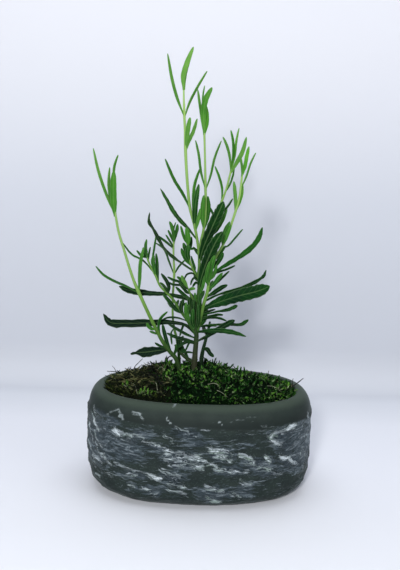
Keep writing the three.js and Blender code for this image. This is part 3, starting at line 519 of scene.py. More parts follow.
wallHeights = np.linspace(0, pot["rimStart"], pot["wallSteps"] + 1)
potRings = [(wallInset(height), float(height)) for height in wallHeights]
for step in range(1, pot["rimSteps"] + 1):
    share = math.sin(step / pot["rimSteps"] * math.pi / 2)
    rise = (pot["height"] - pot["rimStart"]) * share
    potRings.append((pot["rimInset"] * (1 - math.sqrt(1 - share * share)), pot["rimStart"] + rise))
outerRings = len(potRings)
potRings += pot["bowl"]

potBody = ovalStart("pot_body", pot["around"], *potRings[0])
for (insetA, heightA), (insetB, heightB) in zip(potRings, potRings[1:]):
    extrude(heightB - heightA)
    drawIn(*[(pot[side] / 2 - insetB) / (pot[side] / 2 - insetA) for side in ("length", "depth")])
closed(potBody, 0)

# Brush marks, as (run, height, run, height, half width, strength), where run is millimetres round
# the wall to the right of the front middle
brushMarks = [
    (-66, 62, -61, 65.5, 0.9, 0.8), (-59, 66, -54, 60, 1, 0.85), (-48, 66, -43, 65, 1.3, 0.7),
    (-44, 65, -39, 62.5, 1.5, 0.75), (-22.6, 65, -21.6, 62, 0.8, 0.95), (-20.5, 71.2, -19, 71.2, 0.7, 0.85),
    (-86, 58, -80, 52, 0.9, 0.85), (-82, 55, -75, 48, 1.1, 0.95), (-88, 46, -82, 38, 1, 0.85),
    (-80, 46, -72, 37, 0.9, 0.85), (-90, 36, -82, 27, 1.1, 0.85), (-78, 38, -70, 30, 0.8, 0.8),
    (-78, 28, -71, 25, 1.4, 0.9), (-70, 32, -63, 27, 1, 0.8), (-84, 63, -78, 58, 0.8, 0.8),
    (-91, 52, -86, 43, 0.9, 0.85), (-86, 33, -79, 23, 0.9, 0.85), (-60, 52, -56, 50.5, 1.7, 1),
    (-56, 51, -47, 50, 1.1, 0.75), (-46, 51, -38, 50, 1.2, 0.6), (-38, 47.5, -30, 46, 1, 0.85),
    (-31, 46, -21, 44, 0.9, 0.95), (-24, 53, -18, 49.5, 1.5, 0.7), (-17, 59, -9, 57, 1.3, 0.6),
    (-10, 57, -2, 52, 1, 0.5), (-59, 47, -48, 46.5, 1, 0.55), (-22, 42, -12, 41, 2.2, 0.75),
    (-14, 39, -2, 38.5, 2.6, 0.85), (-23, 37, -10, 36, 2, 0.7), (-10, 35, 1, 32, 1.8, 0.85),
    (-21, 33.5, -12, 32.5, 1.2, 0.65), (-24, 28, -14, 25, 2.2, 0.65), (-18, 23, -12, 20, 1.6, 0.55),
    (-59, 28.5, -50, 27, 0.9, 0.7), (-50, 27, -41, 26, 1.1, 0.85), (-41, 26, -36, 25, 0.8, 0.7),
    (-34, 25, -31, 24, 2, 0.95), (-31, 23, -27, 22, 1.8, 0.9), (-79, 15, -76, 14, 1.2, 0.7),
    (-50, 22.5, -42, 22.5, 1.2, 0.65), (-49, 14.5, -45, 14.5, 1, 0.6), (-38, 14.5, -34, 13, 1.3, 0.7),
    (-34, 9.5, -29, 10.5, 1, 0.5), (-21, 14.5, -9, 12, 1.5, 0.65), (-21, 19.5, -10, 17.5, 1.1, 0.65),
    (6.5, 63, 7.5, 63, 0.6, 0.95), (10.5, 63, 11.5, 62.5, 0.7, 0.95), (13, 61.5, 13.5, 61, 0.6, 0.9),
    (19, 63.5, 27, 65, 0.6, 0.55), (27, 65, 36, 67, 0.6, 0.6), (32.5, 63.5, 34.5, 63, 0.8, 0.6),
    (41, 60.5, 49, 58, 0.9, 0.5), (44, 52, 52, 53, 1.4, 0.85), (50, 54, 60, 55, 1.5, 0.8),
    (59, 55, 68, 57.5, 1.7, 0.95), (46, 50, 55, 46, 1.3, 0.95), (-1, 58.3, 5, 58, 0.7, 0.5),
    (21, 58, 39, 53.5, 0.7, 0.45), (6, 45, 15, 43, 1.8, 0.8), (10, 41, 20, 37, 2, 0.8),
    (14, 45, 21, 41, 1, 0.65), (1, 37, 9, 34, 1.1, 0.8), (8, 34, 15, 31, 1, 0.75),
    (9, 32, 20, 29.5, 1.6, 0.75), (20, 30, 31, 28, 1.6, 0.7), (26, 41, 33, 38, 1.3, 0.85),
    (33, 38, 36, 35.5, 1.4, 0.8), (43, 39, 47, 34.5, 1.2, 0.9), (30, 35, 40, 33, 1, 0.6),
    (40, 31, 51, 27.5, 1.4, 0.65), (55, 37, 63, 34, 1.7, 0.95), (62, 34, 69, 29, 1.5, 0.95),
    (66, 31, 75, 27, 1.1, 0.8), (72, 47, 77, 55, 0.9, 0.7), (76, 38, 81, 45, 1, 0.7),
    (73, 31, 77, 38, 0.8, 0.7), (82, 30, 86, 37, 1, 0.7), (84, 45, 88, 52, 0.9, 0.7),
    (78, 21, 82, 26, 0.9, 0.7), (84, 58.5, 86, 58, 1, 0.95), (86.5, 61, 88, 59, 0.9, 0.9),
    (90, 36, 94, 41, 1.2, 0.65), (89, 24, 93, 29, 1, 0.65), (50, 25.5, 58, 24, 1.2, 0.65),
    (27, 21.5, 34, 19, 1.3, 0.75), (3, 19.5, 10, 17, 1.7, 0.7), (9, 17, 17, 15, 1.5, 0.65),
    (22, 13.5, 29, 9.5, 1.3, 0.7), (4, 11.5, 10, 8, 1.4, 0.55), (9, 8, 15, 5, 1.7, 0.7),
    (-66, 20, -60, 18, 0.9, 0.5), (-84, 22, -80, 19, 1, 0.55),
]

# Thin grey washes under the marks, as (run, height, half run, half height, strength)
washes = [
    (-9, 55, 11, 4.5, 0.8), (-49, 46, 14, 3.5, 0.75), (-12, 37, 14, 7.5, 1), (-50, 38, 15, 9, 0.75),
    (-18, 24, 10, 6, 0.85), (14, 41, 10, 6.5, 0.8), (22, 30, 15, 4.5, 0.8), (42, 32, 13, 7, 0.75),
    (58, 51, 15, 6.5, 0.85), (65, 32, 14, 8, 0.8), (-76, 44, 11, 15, 0.8), (-73, 28, 9, 7, 0.7),
    (-45, 24, 15, 5, 0.6), (-32, 13, 16, 6, 0.55), (11, 13, 15, 8, 0.85), (31, 15, 10, 6, 0.6),
    (82, 42, 9, 16, 0.95), (-40, 52, 10, 4, 0.6), (30, 47, 8, 3, 0.35), (-62, 58, 8, 5, 0.6),
    (-86, 40, 9, 17, 1), (-66, 48, 9, 8, 0.8), (-67, 37, 8, 8, 0.8), (62, 43, 12, 9, 0.85),
    (73, 46, 10, 14, 0.95), (88, 44, 8, 16, 1), (73, 29, 11, 8, 0.85), (37, 34, 13, 5, 0.85),
    (-72, 62, 12, 5, 0.7), (-2, 49, 14, 4, 0.55), (-32, 44, 14, 3, 0.7), (48, 26, 12, 4, 0.6),
    (103, 38, 11, 13, 0.85), (100, 22, 11, 6, 0.7), (116, 50, 10, 6, 0.75),
]

# The hidden side carries marks of the same kind, drawn by a seeded rule
backMarks = {
    "seed": 11, "marks": 96, "washes": 26,
    # run, height, length, slope, half width and strength
    "mark": [(96, 348), (8, 58), (3, 13), (-0.45, 0.25), (0.8, 2.1), (0.5, 0.95)],
    # run, height, half run, half height and strength
    "wash": [(98, 346), (10, 54), (8, 16), (3.5, 9), (0.6, 0.95)],
}
draw = random.Random(backMarks["seed"])
for _ in range(backMarks["marks"]):
    run, height, length, slope, half, strength = [draw.uniform(*ends) for ends in backMarks["mark"]]
    brushMarks.append((run, height, run + length, height + slope * length, half, strength))
for _ in range(backMarks["washes"]):
    washes.append([draw.uniform(*ends) for ends in backMarks["wash"]])


def waverAt(x, y, z):
    slow, quick = Vector((x, y, z * 2)), Vector((x, y, z * 3))
    return 1.7 * noise.noise(slow * 0.2) + 0.7 * noise.noise(quick * 0.7)


easeAll = np.vectorize(ease, otypes=[float])

# every point's angle, and its run round the wall: left of the front middle it is under 0, down to
# where the hidden side starts, and all the rest goes on to the right
points = np.array([vertex.co[:] for vertex in potBody.data.vertices]) / mm
heights = points[:, 2]
directionX, directionY = [np.sign(side) * np.abs(side / pot[name]) ** (pot["planPower"] / 2)
                          for side, name in ((points[:, 0], "length"), (points[:, 1], "depth"))]
angles = np.arctan2(directionY, directionX) % (2 * math.pi)
runs = np.interp(angles, outlineAngles, outlineRuns)
runs -= np.interp(1.5 * math.pi, outlineAngles, outlineRuns)
runs = np.where(runs < -pot["backStart"], runs + outlineRuns[-1], runs)
# the marks are read through a wavering, so that their edges are ragged
markRuns = runs + np.array([waverAt(x, y, z) for x, y, z in points])
markHeights = heights + np.array([0.8 * waverAt(y, x, z) for x, y, z in points])

# how far a point is along its stroke and across it, so that the hair lines follow the stroke; the
# brush went level at the front and slanted where the wall turns away at both ends
slant = -0.8 * (easeAll(60, 80, -runs) + easeAll(328, 346, runs))
slant += 0.95 * easeAll(64, 82, runs) * (1 - easeAll(96, 116, runs))
fromEnd = markRuns - np.where(runs < 0, -1, 1) * pot["halfFront"]
strokeAlong = fromEnd * np.cos(slant) + markHeights * np.sin(slant)
strokeAcross = markHeights * np.cos(slant) - fromEnd * np.sin(slant)
whiteField, washField, coatShare, innerShare = np.zeros((4, len(points)))
for runA, heightA, runB, heightB, half, strength in brushMarks:
    alongRun, alongHeight = runB - runA, heightB - heightA
    length = math.hypot(alongRun, alongHeight)
    offRun, offHeight = markRuns - runA, markHeights - heightA
    along = (offRun * alongRun + offHeight * alongHeight) / length
    across = (offHeight * alongRun - offRun * alongHeight) / length
    share = np.clip(along / length, 0, 1)
    away = np.hypot(offRun - share * alongRun, offHeight - share * alongHeight)
    value = strength * np.clip(1.3 - away / (pot["markSpread"] * half), 0, 1)
    stronger = value > whiteField
    whiteField = np.where(stronger, value, whiteField)
    strokeAlong = np.where(stronger, along, strokeAlong)
    strokeAcross = np.where(stronger, across, strokeAcross)
for run, height, halfRun, halfHeight, strength in washes:
    away = np.hypot((markRuns - run) / halfRun, (markHeights - height) / halfHeight)
    washField = np.maximum(washField, strength * np.clip(1.25 - away, 0, 1))

for index, vertex in enumerate(potBody.data.vertices):
    angle, height = float(angles[index]), float(heights[index])
    ring = index // pot["around"]
    if ring >= outerRings:
        innerShare[index] = 1 - ease(70.6, 71.9, height)
        continue
    edge = pot["rimStart"] - 0.5 + 1.5 * math.sin(2 * angle + 0.6) + 0.9 * math.sin(7 * angle + 1.1)
    coat = coatShare[index] = 1 - ease(edge - 0.9, edge + 0.5, height)
    swell = math.sin(5 * angle + 0.35 * height) * math.sin(0.28 * height + 2 * math.sin(2 * angle))
    swell += 0.5 * math.sin(11 * angle - 0.5 * height)
    spot = Vector((points[index][0] * 0.16, points[index][1] * 0.16, height * 0.5))
    rough = 0.45 * noise.noise(spot) + 0.25 * noise.noise(spot * 2.7) + 0.3 * whiteField[index]
    proud = coat * (pot["coatProud"] + pot["coatRelief"] * swell + rough)
    # the foot keeps its flat face, and its lower edge is a little uneven
    proud -= 0.7 * (1 - ease(2, 9, height)) * max(0, noise.noise(spot * 0.8)) * ease(0, 1.5, height)
    proud += (1 - coat) * 0.07 * noise.noise(spot * 0.6)
    # the coat never reaches past the part's own box
    place = [min(max(side * mm, low), high) for side, low, high in zip(
        ovalXY(angle, potRings[ring][0] - proud), *cadBox)]
    vertex.co = (*place, height * mm)
setMarks(potBody, brushMark=whiteField, wash=washField, strokeAlong=strokeAlong,
         strokeAcross=strokeAcross, coat=coatShare, inner=innerShare)
outwards(potBody)
smoothed(potBody)

newMaterial("brushedCoat", Specular_IOR_Level=0.22, Sheen_Weight=0.1, Sheen_Roughness=0.3,
            Sheen_Tint=(0.78, 0.92, 0.95, 1))
coatMark, whiteMark, washMark, across = map(mark, ["coat", "brushMark", "wash", "strokeAcross"])
side, _, height = partsOf(work["place"])
wide = useGroup(brushStreaks, "Streak", Length=0.05, Height=0.24, Warp=2.2, Curl=1.2)
narrow = useGroup(brushStreaks, "Streak", Length=0.075, Height=0.44, Warp=3.0, Curl=1.3, Seed=7.3)
strokePlace = put("ShaderNodeCombineXYZ", "Vector", {
    "X": mark("strokeAlong") * 0.16, "Y": across * 1.7, "Z": side * 0.06})
hair = speckle(strokePlace, 1.0, 3.0, 0.65)
# each streak's swing round its middle
wideSwing, narrowSwing, hairSwing = wide - 0.5, narrow - 0.5, hair - 0.5
cast = mottled(0.09, 0.9)
castShare = between(cast["Shade"], 0.35, 0.65)

bare = blended(castShare, (31, 41, 38), (38, 48, 44))
# the rim is darker low down, and its top is painted paler, as painted light from above
bare = blended(between(height, 59, 68), blended(0.8, bare, (18, 27, 26)), bare)
bare = blended(between(height, 67, 72), bare, (54, 66, 57))

# a thin wash, then the strokes themselves, both broken up by streaks
thin = between(washMark + wideSwing * 1.5 + narrowSwing * 1.1 + hairSwing * 1.5, 0.12, 0.5)
atRight = between(side, 56, 74) * 0.2 + 0.46
washTone = ramp(atRight + wideSwing * 0.9 + narrowSwing * 0.9 + hairSwing * 1.3, (0.2, 29, 39, 45),
                (0.42, 43, 54, 60), (0.62, 66, 77, 84), (0.85, 108, 118, 124))
brushed = whiteMark + narrowSwing * 1.2 + hairSwing * 2.1
thick = between(brushed, 0.42, 0.78)
strokeTone = ramp(narrowSwing * 0.8 + hairSwing * 1.7 + 0.5, (0.2, 68, 80, 86), (0.5, 104, 115, 121),
                  (0.85, 154, 164, 170))
# some of the paint has a green cast, most of all right of the middle
greenHere = between(side, -12, 10) * between(side, 62, 42) * 0.35 + 0.35
strokeTone = blended(between(wide, 0.44, 0.6) * greenHere, strokeTone, (112, 134, 116))
# fine ridges of paint stand up along the streaks' edges, pale on top with a dark line beside them
painted = between(maths("MAXIMUM", washMark, whiteMark), 0.25, 0.7)
ridge = between(abs(narrow - 0.57), 0.045, 0.01) * painted * between(wide, 0.46, 0.6)
gutter = between(abs(narrow - 0.47), 0.045, 0.01) * painted
# each stroke has a raised lip along its upper edge, pale partly from its paint and partly as a painted
# highlight, and a dark line of painted shadow under its lower one
upper = between(across, -0.5, 0.5)
lip = between(abs(brushed - 0.66), 0.12, 0.02) * upper * between(whiteMark, 0.35, 0.7)
under = between(abs(brushed - 0.38), 0.1, 0.02) * (1.0 - upper) * between(whiteMark, 0.1, 0.3)
peak = between(whiteMark + narrowSwing * 0.6 + hairSwing * 1.4, 0.8, 0.94)
# the coat's layers, with the painted shadow line under each stroke and the painted highlight on each raised
# lip
coated = layered(
    blended(castShare, (23, 33, 32), (31, 42, 39)),
    (between(cast["Grain"], 0.56, 0.72) * 0.2, (92, 106, 104)), (thin, washTone), (thick, strokeTone),
    (gutter * 0.5, (24, 33, 40)), (ridge * 0.5, (148, 159, 165)), (under * 0.6, (22, 31, 39)),
    (lip * 0.5, (166, 176, 182)), (peak, (182, 192, 198)))
# flecks of the paint on the bare rim too, where the marks reach it
fleck = between(whiteMark + hairSwing * 1.2 + narrowSwing * 0.5, 0.45, 0.8, 0.0, 0.8) * (1.0 - coatMark)
# the inside is painted dark, partly for the stain of moss and soil and partly as painted shade, and the
# foot's lowest edge gets painted shade
colour = layered(bare, (coatMark, coated), (fleck, (134, 145, 148)), (mark("inner"), (24, 29, 25)),
                 (between(height, 3.4, 0.4, 0.0, 0.75), (12, 17, 17)))
paint(Roughness=between(thick, 0.2, 0.9, 0.76, 0.62))
relief = thick * 0.5 + thin * 0.2 + lip - gutter * 0.4
finished(colour, cast["Grain"] * 0.12 + relief * coatMark, 0.6, 1.2, potBody)
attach(potBody, "root")
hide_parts("pot")
print("pot is shaped and painted:", len(potBody.data.polygons), "faces")


# The moss: two mats that meet on a slanting line, under shoots that stand in tufts

moss = {
    "inset": 11.5, "bottom": 62.3, "edge": 70.4, "moundHeight": 13.4, "moundPower": 0.42, "around": 150,
    "reaches": [0.97, 0.94, 0.91, 0.87, 0.83, 0.78, 0.73, 0.68, 0.62, 0.56, 0.5, 0.44, 0.38, 0.32, 0.26,
                0.2, 0.14, 0.08],
    "swells": 90, "swellRadius": 7, "swellHeight": 1.6,
    "meetingX": -24.5,  # where the mats meet, on the line x = meetingX - 0.1 y
    "seam": 0.15,
}
mossHalves = [pot[side] / 2 - moss["inset"] for side in ("length", "depth")]


def sourceRandom(seed):
    # the same draw as in the part's source, so that the swells lie in the same places
    state = seed
    while True:
        state = (state * 1664525 + 1013904223) % 4294967296
        yield state / 4294967296


draw = sourceRandom(7)
swells = []
for _ in range(moss["swells"]):
    x, y = [(next(draw) * 2 - 1) * half for half in mossHalves]
    radius = moss["swellRadius"] * (0.7 + 0.6 * next(draw))
    swells.append((x, y, radius, moss["swellHeight"] * (0.5 + next(draw))))


def mossReach(x, y):
    # 0 in the middle and 1 at the wall
    power = pot["planPower"]
    return min(1, sum((abs(side) / half) ** power for side, half in zip((x, y), mossHalves)) ** (1 / power))


def mossTopAt(x, y):
    reach = mossReach(x, y)
    side = 1 - 0.22 * ease(10, 38, x) - 0.12 * ease(28, 50, -x)
    swell = 0
    for swellX, swellY, radius, height in swells:
        away = ((x - swellX) ** 2 + (y - swellY) ** 2) / radius ** 2
        if away < 1:
            swell = max(swell, height * (1 - away))
    dome = moss["moundHeight"] * side * (1 - reach * reach) ** moss["moundPower"]
    # the moss has sunk behind, most of all to the right, and the pot's wall shows over it
    right = max(ease(-8, 12, y) * ease(4, 34, x), ease(-24, -4, y) * ease(46, 64, x))
    sunk = max(3.4 * right, 1.8 * ease(-4, 16, y) * ease(22, 48, -x))
    return moss["edge"] + dome + swell * (1 - 0.6 * right) * ease(0, 0.15, 1 - reach) - sunk


def mossNormalAt(x, y, step=1.2):
    slopeX = (mossTopAt(x + step, y) - mossTopAt(x - step, y)) / (2 * step)
    slopeY = (mossTopAt(x, y + step) - mossTopAt(x, y - step)) / (2 * step)
    return Vector((-slopeX, -slopeY, 1)).normalized()


mound = ovalStart("mound", moss["around"], moss["inset"], moss["bottom"])
extrude(moss["edge"] - 0.8 - moss["bottom"])
before = 1
for reach in moss["reaches"]:
    extrude(0)
    drawIn(reach / before, reach / before)
    before = reach
closed(mound, moss["bottom"])
for vertex in mound.data.vertices:
    x, y, z = vertex.co / mm
    if z > moss["bottom"] + 1:
        bump = 0.7 * noise.noise(Vector((x, y, 0)) * 0.45) + 0.35 * noise.noise(Vector((x, y, 4)) * 1.1)
        vertex.co.z = (mossTopAt(x, y) - 0.9 + bump * ease(0, 0.06, 1 - mossReach(x, y))) * mm


def keptSide(name, left):
    # one mat: the mound cut down the line where the two meet, and closed there
    mat = copyOf(mound)
    mat.name = name
    activate(mat)
    mode("EDIT")
    bpy.ops.mesh.select_all(action="SELECT")
    place = Vector((moss["meetingX"] + moss["seam"] * (-1 if left else 1), 0, 70)) * mm
    bpy.ops.mesh.bisect(plane_co=place, plane_no=Vector((1, 0.1, 0)).normalized(), use_fill=True,
                        clear_outer=left, clear_inner=not left)
    mode("OBJECT")
    outwards(mat)
    smoothed(mat)
    return mat


greenMat = keptSide("moss_green_mat", left=False)
brownMat = keptSide("moss_brown_mat", left=True)

shoot = {
    "length": 5.4, "stemRadius": 0.45, "leafLength": 2.5, "leafWidth": 0.95, "leaves": 12, "seed": 2,
    "lean": 21,  # degrees between a leaf and the shoot
    "turn": 2.4,  # radians from one leaf to the next
}


def mossShoot():
    # a tapered stem with small pointed leaves in a spiral and a tip that is drawn to a point
    bpy.ops.mesh.primitive_cone_add(vertices=4, radius1=shoot["stemRadius"] * mm, radius2=0.1 * mm,
                                    depth=shoot["length"] * 0.9 * mm, end_fill_type="NOTHING",
                                    location=(0, 0, shoot["length"] * 0.45 * mm))
    stem = bpy.context.object
    settle(stem)
    setMarks(stem, glint=0)
    bpy.ops.mesh.primitive_plane_add(size=1)
    leaf = bpy.context.object
    corners = [(0, 0, 0), (0.5, 0.42, 0.1), (-0.5, 0.42, 0.1), (0, 1, -0.06)]
    for vertex, (x, y, z) in zip(leaf.data.vertices, corners):
        vertex.co = Vector((x * shoot["leafWidth"], y * shoot["leafLength"], z * shoot["leafLength"])) * mm
    draw = random.Random(shoot["seed"])
    leaves = []
    for index in range(shoot["leaves"]):
        share = index / (shoot["leaves"] - 1)
        lean = math.radians(90 - shoot["lean"] * (1.15 - 0.75 * share))
        size = 0.75 + 0.35 * math.sin(math.pi * (0.25 + 0.6 * share))
        lifted = Matrix.Translation((0, 0, shoot["length"] * (0.28 + 0.6 * share) * mm))
        spun = turned(index * shoot["turn"], "Z") @ turned(lean, "X")
        leaves.append(copyOf(leaf, lifted @ spun @ Matrix.Scale(size, 4)))
        setMarks(leaves[-1], glint=draw.random())
    remove(leaf)
    made = joined([stem, *leaves], "mossShoot")
    setMarks(made, tip=[vertex.co.z / (shoot["length"] * mm) for vertex in made.data.vertices])
    return made


def clusters(plan, onePlace):
    # each variant is drawn by its own seed, from a master and a place for every piece in it
    made = []
    for variant in range(plan["variants"]):
        draw = random.Random(plan["seed"] + variant)
        pieces = []
        for index in range(plan["each"]):
            pieces.append(copyOf(*onePlace(plan, draw, index)))
            setMarks(pieces[-1], tone=draw.uniform(0, 1))
        made.append(joined(pieces, "cluster"))
    return made


def inTuft(plan, draw, index):
    # the shoots spread from the middle, and the outer ones lean further out
    share = math.sqrt((index + 0.5) / plan["each"])
    around = index * 2.4 + draw.uniform(-0.4, 0.4)
    lean = math.radians(plan["leanOut"] * share + draw.uniform(-16, 16))
    size = draw.uniform(0.7, 1.2) * (1.06 - 0.2 * share)
    foot = Vector((math.cos(around), math.sin(around), 0)) * plan["spread"] * share
    foot.z = -0.8 - 0.9 * share
    return masterShoot, (Matrix.Translation(foot * mm) @ turned(around, "Z") @ turned(lean, "Y")
                         @ turned(draw.uniform(0, 6.3), "Z") @ Matrix.Scale(size, 4))


def spacedPlaces(seed, spacing, count, inside):
    # places in the oval that keep their distance from each other
    draw = random.Random(seed)
    places = []
    for _ in range(count * 60):
        x, y = draw.uniform(-68, 68), draw.uniform(-44, 44)
        if mossReach(x, y) >= 0.95 or not inside(x, y):
            continue
        if all((x - px) ** 2 + (y - py) ** 2 >= spacing ** 2 for px, py in places):
            places.append((x, y))
        if len(places) == count:
            break
    return places


edgeTufts = {"reach": 0.972, "jitter": 0.012, "spacing": 4.2, "sizes": (0.6, 0.9), "sink": 0.9}


def ringPlaces(seed, inside):
    # places along the mound's outline, drawn in to the reach
    draw = random.Random(seed)
    places = []
    for x, y in zip(*evenOval(round(370 / edgeTufts["spacing"]), moss["inset"])):
        share = edgeTufts["reach"] + draw.uniform(-edgeTufts["jitter"], edgeTufts["jitter"])
        places.append((float(x) * share, float(y) * share))
    return [place for place in places if inside(*place)]


def rightOfMeeting(x, y):
    # the living shoots lean a little way over the dry mat
    return x > moss["meetingX"] - 0.1 * y + 2.2 * math.sin(y / 6) - 6


def leftOfMeeting(x, y):
    return not rightOfMeeting(x, y)


def strewn(masters, places, seed, name, sizes, sink, lean=0.0, edgeTilt=-1.0):
    # copies of the masters, each standing on the mound and turned its own way
    draw = random.Random(seed)
    copies = []
    for x, y in places:
        reach = mossReach(x, y)
        # near the rim they lean in, so that they keep inside the wall, or a little out over it
        upright = Vector((edgeTilt * x / 90, edgeTilt * y / 60, 1))
        normal = mossNormalAt(x, y).lerp(upright, ease(0.8, 0.97, reach) * 0.85).normalized()
        tilt = Vector((draw.uniform(-lean, lean), draw.uniform(-lean, lean), 1)).normalized()
        facing = (normal.to_track_quat("Z", "Y") @ tilt.to_track_quat("Z", "Y")).to_matrix().to_4x4()
        size = draw.uniform(*sizes) * (1 - 0.15 * ease(0.85, 1, reach))
        foot = Vector((x, y, mossTopAt(x, y) - sink - 1.4 * ease(-5, 15, y))) * mm
        copies.append(copyOf(draw.choice(masters), Matrix.Translation(foot) @ facing
                             @ turned(draw.uniform(0, 6.3), "Z") @ Matrix.Scale(size, 4)))
    return joined(copies, name)


masterShoot = mossShoot()
tufts = clusters({"variants": 6, "each": 10, "seed": 20, "spread": 2.976, "leanOut": 106}, inTuft)
lowTufts = clusters({"variants": 4, "each": 7, "seed": 30, "spread": 1.612, "leanOut": 52}, inTuft)
greenPlaces = spacedPlaces(3, 5.3, 330, rightOfMeeting)
greenShoots = strewn(tufts, greenPlaces, 5, "tufts", (0.72, 1.12), 0.7, 0.3)
edgePlaces = ringPlaces(6, rightOfMeeting)
edgeShoots = strewn(lowTufts, edgePlaces, 7, "edge", edgeTufts["sizes"], edgeTufts["sink"], 0.2, 0.9)
# a few living tufts that stand in the dry moss near the front
strayPlaces = [(-38, -36.5), (-35, -38.5), (-41.5, -36), (-52, -24), (-30, -30)]
strayShoots = strewn(lowTufts, strayPlaces, 14, "stray", (0.8, 1.0), 0.3)
setMarks(strayShoots, tone=0.8)
greenShoots = joined([greenShoots, edgeShoots, strayShoots], "moss_green_shoots")
print("green moss:", len(greenPlaces), "tufts,", len(greenShoots.data.polygons), "faces")

# The dry moss: matted strands, some low tufts among them, and a few straws
strands = {"masters": 7, "masterSeed": 40, "thickness": 0.34, "points": 5,
           "variants": 4, "each": 13, "seed": 60, "spread": 3.4}


def tube(name, centres, radii, sides):
    # a round stem along the centres, with a radius in millimetres at each of them
    curve = bpy.data.curves.new(name, "CURVE")
    curve.dimensions = "3D"
    curve.bevel_depth = mm
    curve.bevel_resolution = sides
    curve.use_fill_caps = True
    spline = curve.splines.new("POLY")
    spline.points.add(len(centres) - 1)
    for point, centre, radius in zip(spline.points, centres, radii):
        point.co = (*(Vector(centre) * mm), 1)
        point.radius = radius
    piece = bpy.data.objects.new(name, curve)
    bpy.context.collection.objects.link(piece)
    activate(piece)
    bpy.ops.object.convert(target="MESH")
    return bpy.context.object


def strand(seed):
    draw = random.Random(seed)
    count = strands["points"]
    length, bend = draw.uniform(6, 11), draw.uniform(-0.8, 0.8)
    centres, heading, place = [], 0.0, Vector((-length / 2, 0, 0))
    for step in range(count):
        centres.append(place.copy())
        heading += bend * 0.5 + draw.uniform(-0.3, 0.3)
        lift = 0.9 * math.sin(math.pi * (step + 0.5) / count) - 0.45
        place += Vector((math.cos(heading), math.sin(heading), lift * 0.5)) * length / count
    thick = strands["thickness"] * draw.uniform(0.8, 1.5)
    piece = tube("strand", centres, [thick * share for share in (0.6, 1, 1, 0.9, 0.35)], 0)
    setMarks(piece, tip=0.5)
    return piece


def inClump(plan, draw, index):
    master = draw.choice(strandMasters)
    around, away = draw.uniform(0, 6.3), plan["spread"] * math.sqrt(draw.random())
    place = Vector((math.cos(around) * away, math.sin(around) * away, draw.uniform(-0.2, 1.3))) * mm
    tilt = turned(draw.uniform(-0.5, 0.5), "X") @ turned(draw.uniform(-0.5, 0.5), "Y")
    return master, Matrix.Translation(place) @ tilt @ turned(draw.uniform(0, 6.3), "Z")


strandMasters = [strand(strands["masterSeed"] + index) for index in range(strands["masters"])]
clumps = clusters(strands, inClump)
brownPlaces = spacedPlaces(9, 4.8, 140, lambda x, y: leftOfMeeting(x - 1, y))
# a few lie among the living moss too, behind and to the right
brownPlaces += [(34, 24), (41, 20), (46, 14), (52, 10), (58, 2), (38, 31), (28, 30), (63, -8)]
brownStrands = strewn(clumps, brownPlaces, 8, "moss_brown_strands", (0.8, 1.15), 0.5, 0.2)
lowPlaces = spacedPlaces(13, 9, 26, lambda x, y: leftOfMeeting(x - 1, y))
brownShoots = strewn(tufts, lowPlaces, 12, "low", (0.55, 0.8), 1.5, 0.5)
dryEdge = strewn(lowTufts, ringPlaces(16, leftOfMeeting), 17, "dryEdge", edgeTufts["sizes"],
                 edgeTufts["sink"], 0.3, 0.9)
brownShoots = joined([brownShoots, dryEdge], "moss_brown_shoots")
print("dry moss:", len(brownStrands.data.polygons) + len(brownShoots.data.polygons), "faces")

# Twigs that stand out of the mats and straws that lie on them, as (points, radius); the points
# are x, y and a height above the moss
straws = [
    ([(-32, -29, 0.6), (-31, -33, 1.4), (-30, -38, 0.8)], 0.22),
    ([(-49, -21, 0.5), (-46, -28, 1.6), (-44, -35, 0.7)], 0.2),
    ([(-54, -22, 0.4), (-52, -27, 1.5)], 0.2),
    ([(4, -33, 1.8), (8, -35, 2.9), (12, -37, 2.0)], 0.2),
    ([(10, -40, 1.9), (13, -41, 2.3), (17, -42, 1.4)], 0.2),
    ([(-31, -3, 0.4), (-29, -5, 2.2), (-26, -9, 1.8)], 0.2),
    ([(-60, 4, 0.4), (-55, 0, 1.6), (-51, 1, 0.6)], 0.2),
    ([(38, -2, 1.4), (43, 2, 2.5), (50, 1, 1.2)], 0.18),
    ([(46, -22, 1.2), (50, -26, 2.4), (56, -25, 1.0)], 0.18),
]
twigs = [
    ([(60, -9, -2), (63.2, -8, 0.6), (66.4, -8, 5.3), (69.4, -8, 10.5), (73.4, -8, 14)], 0.46),
    ([(66, -8, 5), (65.6, -8, 8), (66.1, -8, 10.6)], 0.3),
    ([(-58, 22, -1), (-61, 24, 3.2), (-64, 22, 5.6), (-70, 20, 6.4)], 0.36),
    ([(-63.4, 22.4, 5.2), (-64.6, 22, 8), (-66.6, 22, 10.2)], 0.24),
    ([(-49, 30, -1), (-50, 31, 3), (-47, 30, 5.4), (-44, 30, 7.8)], 0.32),
    ([(-24, 26, -1), (-25, 25, 3), (-23, 24, 5.4), (-19, 24, 5.0), (-16, 24, 3)], 0.5),
    ([(50, 20, -1), (51, 19, 2.8), (51.6, 19, 5.4)], 0.3),
]


def laid(name, rows):
    pieces = []
    for points, radius in rows:
        centres = [Vector((x, y, mossTopAt(x, y) + height)) for x, y, height in points]
        path = [pathPoint(centres, step / 12) for step in range(13)]
        radii = [radius * (1.15 - 0.5 * step / 12) * (1 + 0.22 * math.sin(step * 2.1))
                 for step in range(13)]
        pieces.append(tube(name, path, radii, 1))
    made = joined(pieces, name)
    smoothed(made)
    return made


dryStraws = laid("moss_straws", straws)
dryTwigs = laid("dry_twigs", twigs)
remove(mound, masterShoot, *tufts, *lowTufts, *strandMasters, *clumps)

# how near a place is to the line where the mats meet, on the dry side and towards the front, where
# both are dark
meetingShade, vector = newGroup("meetingShade", ["Shade"])
x, y, z = partsOf(vector)
across = abs((speckle(vector, 0.25, 2.0) - 0.5) * 14.0 + (y * 0.1 + (x + 34.0)))
newNode("NodeGroupOutput", {"Shade": between(across, 7, 1.5) * between(y, 24, -8)})


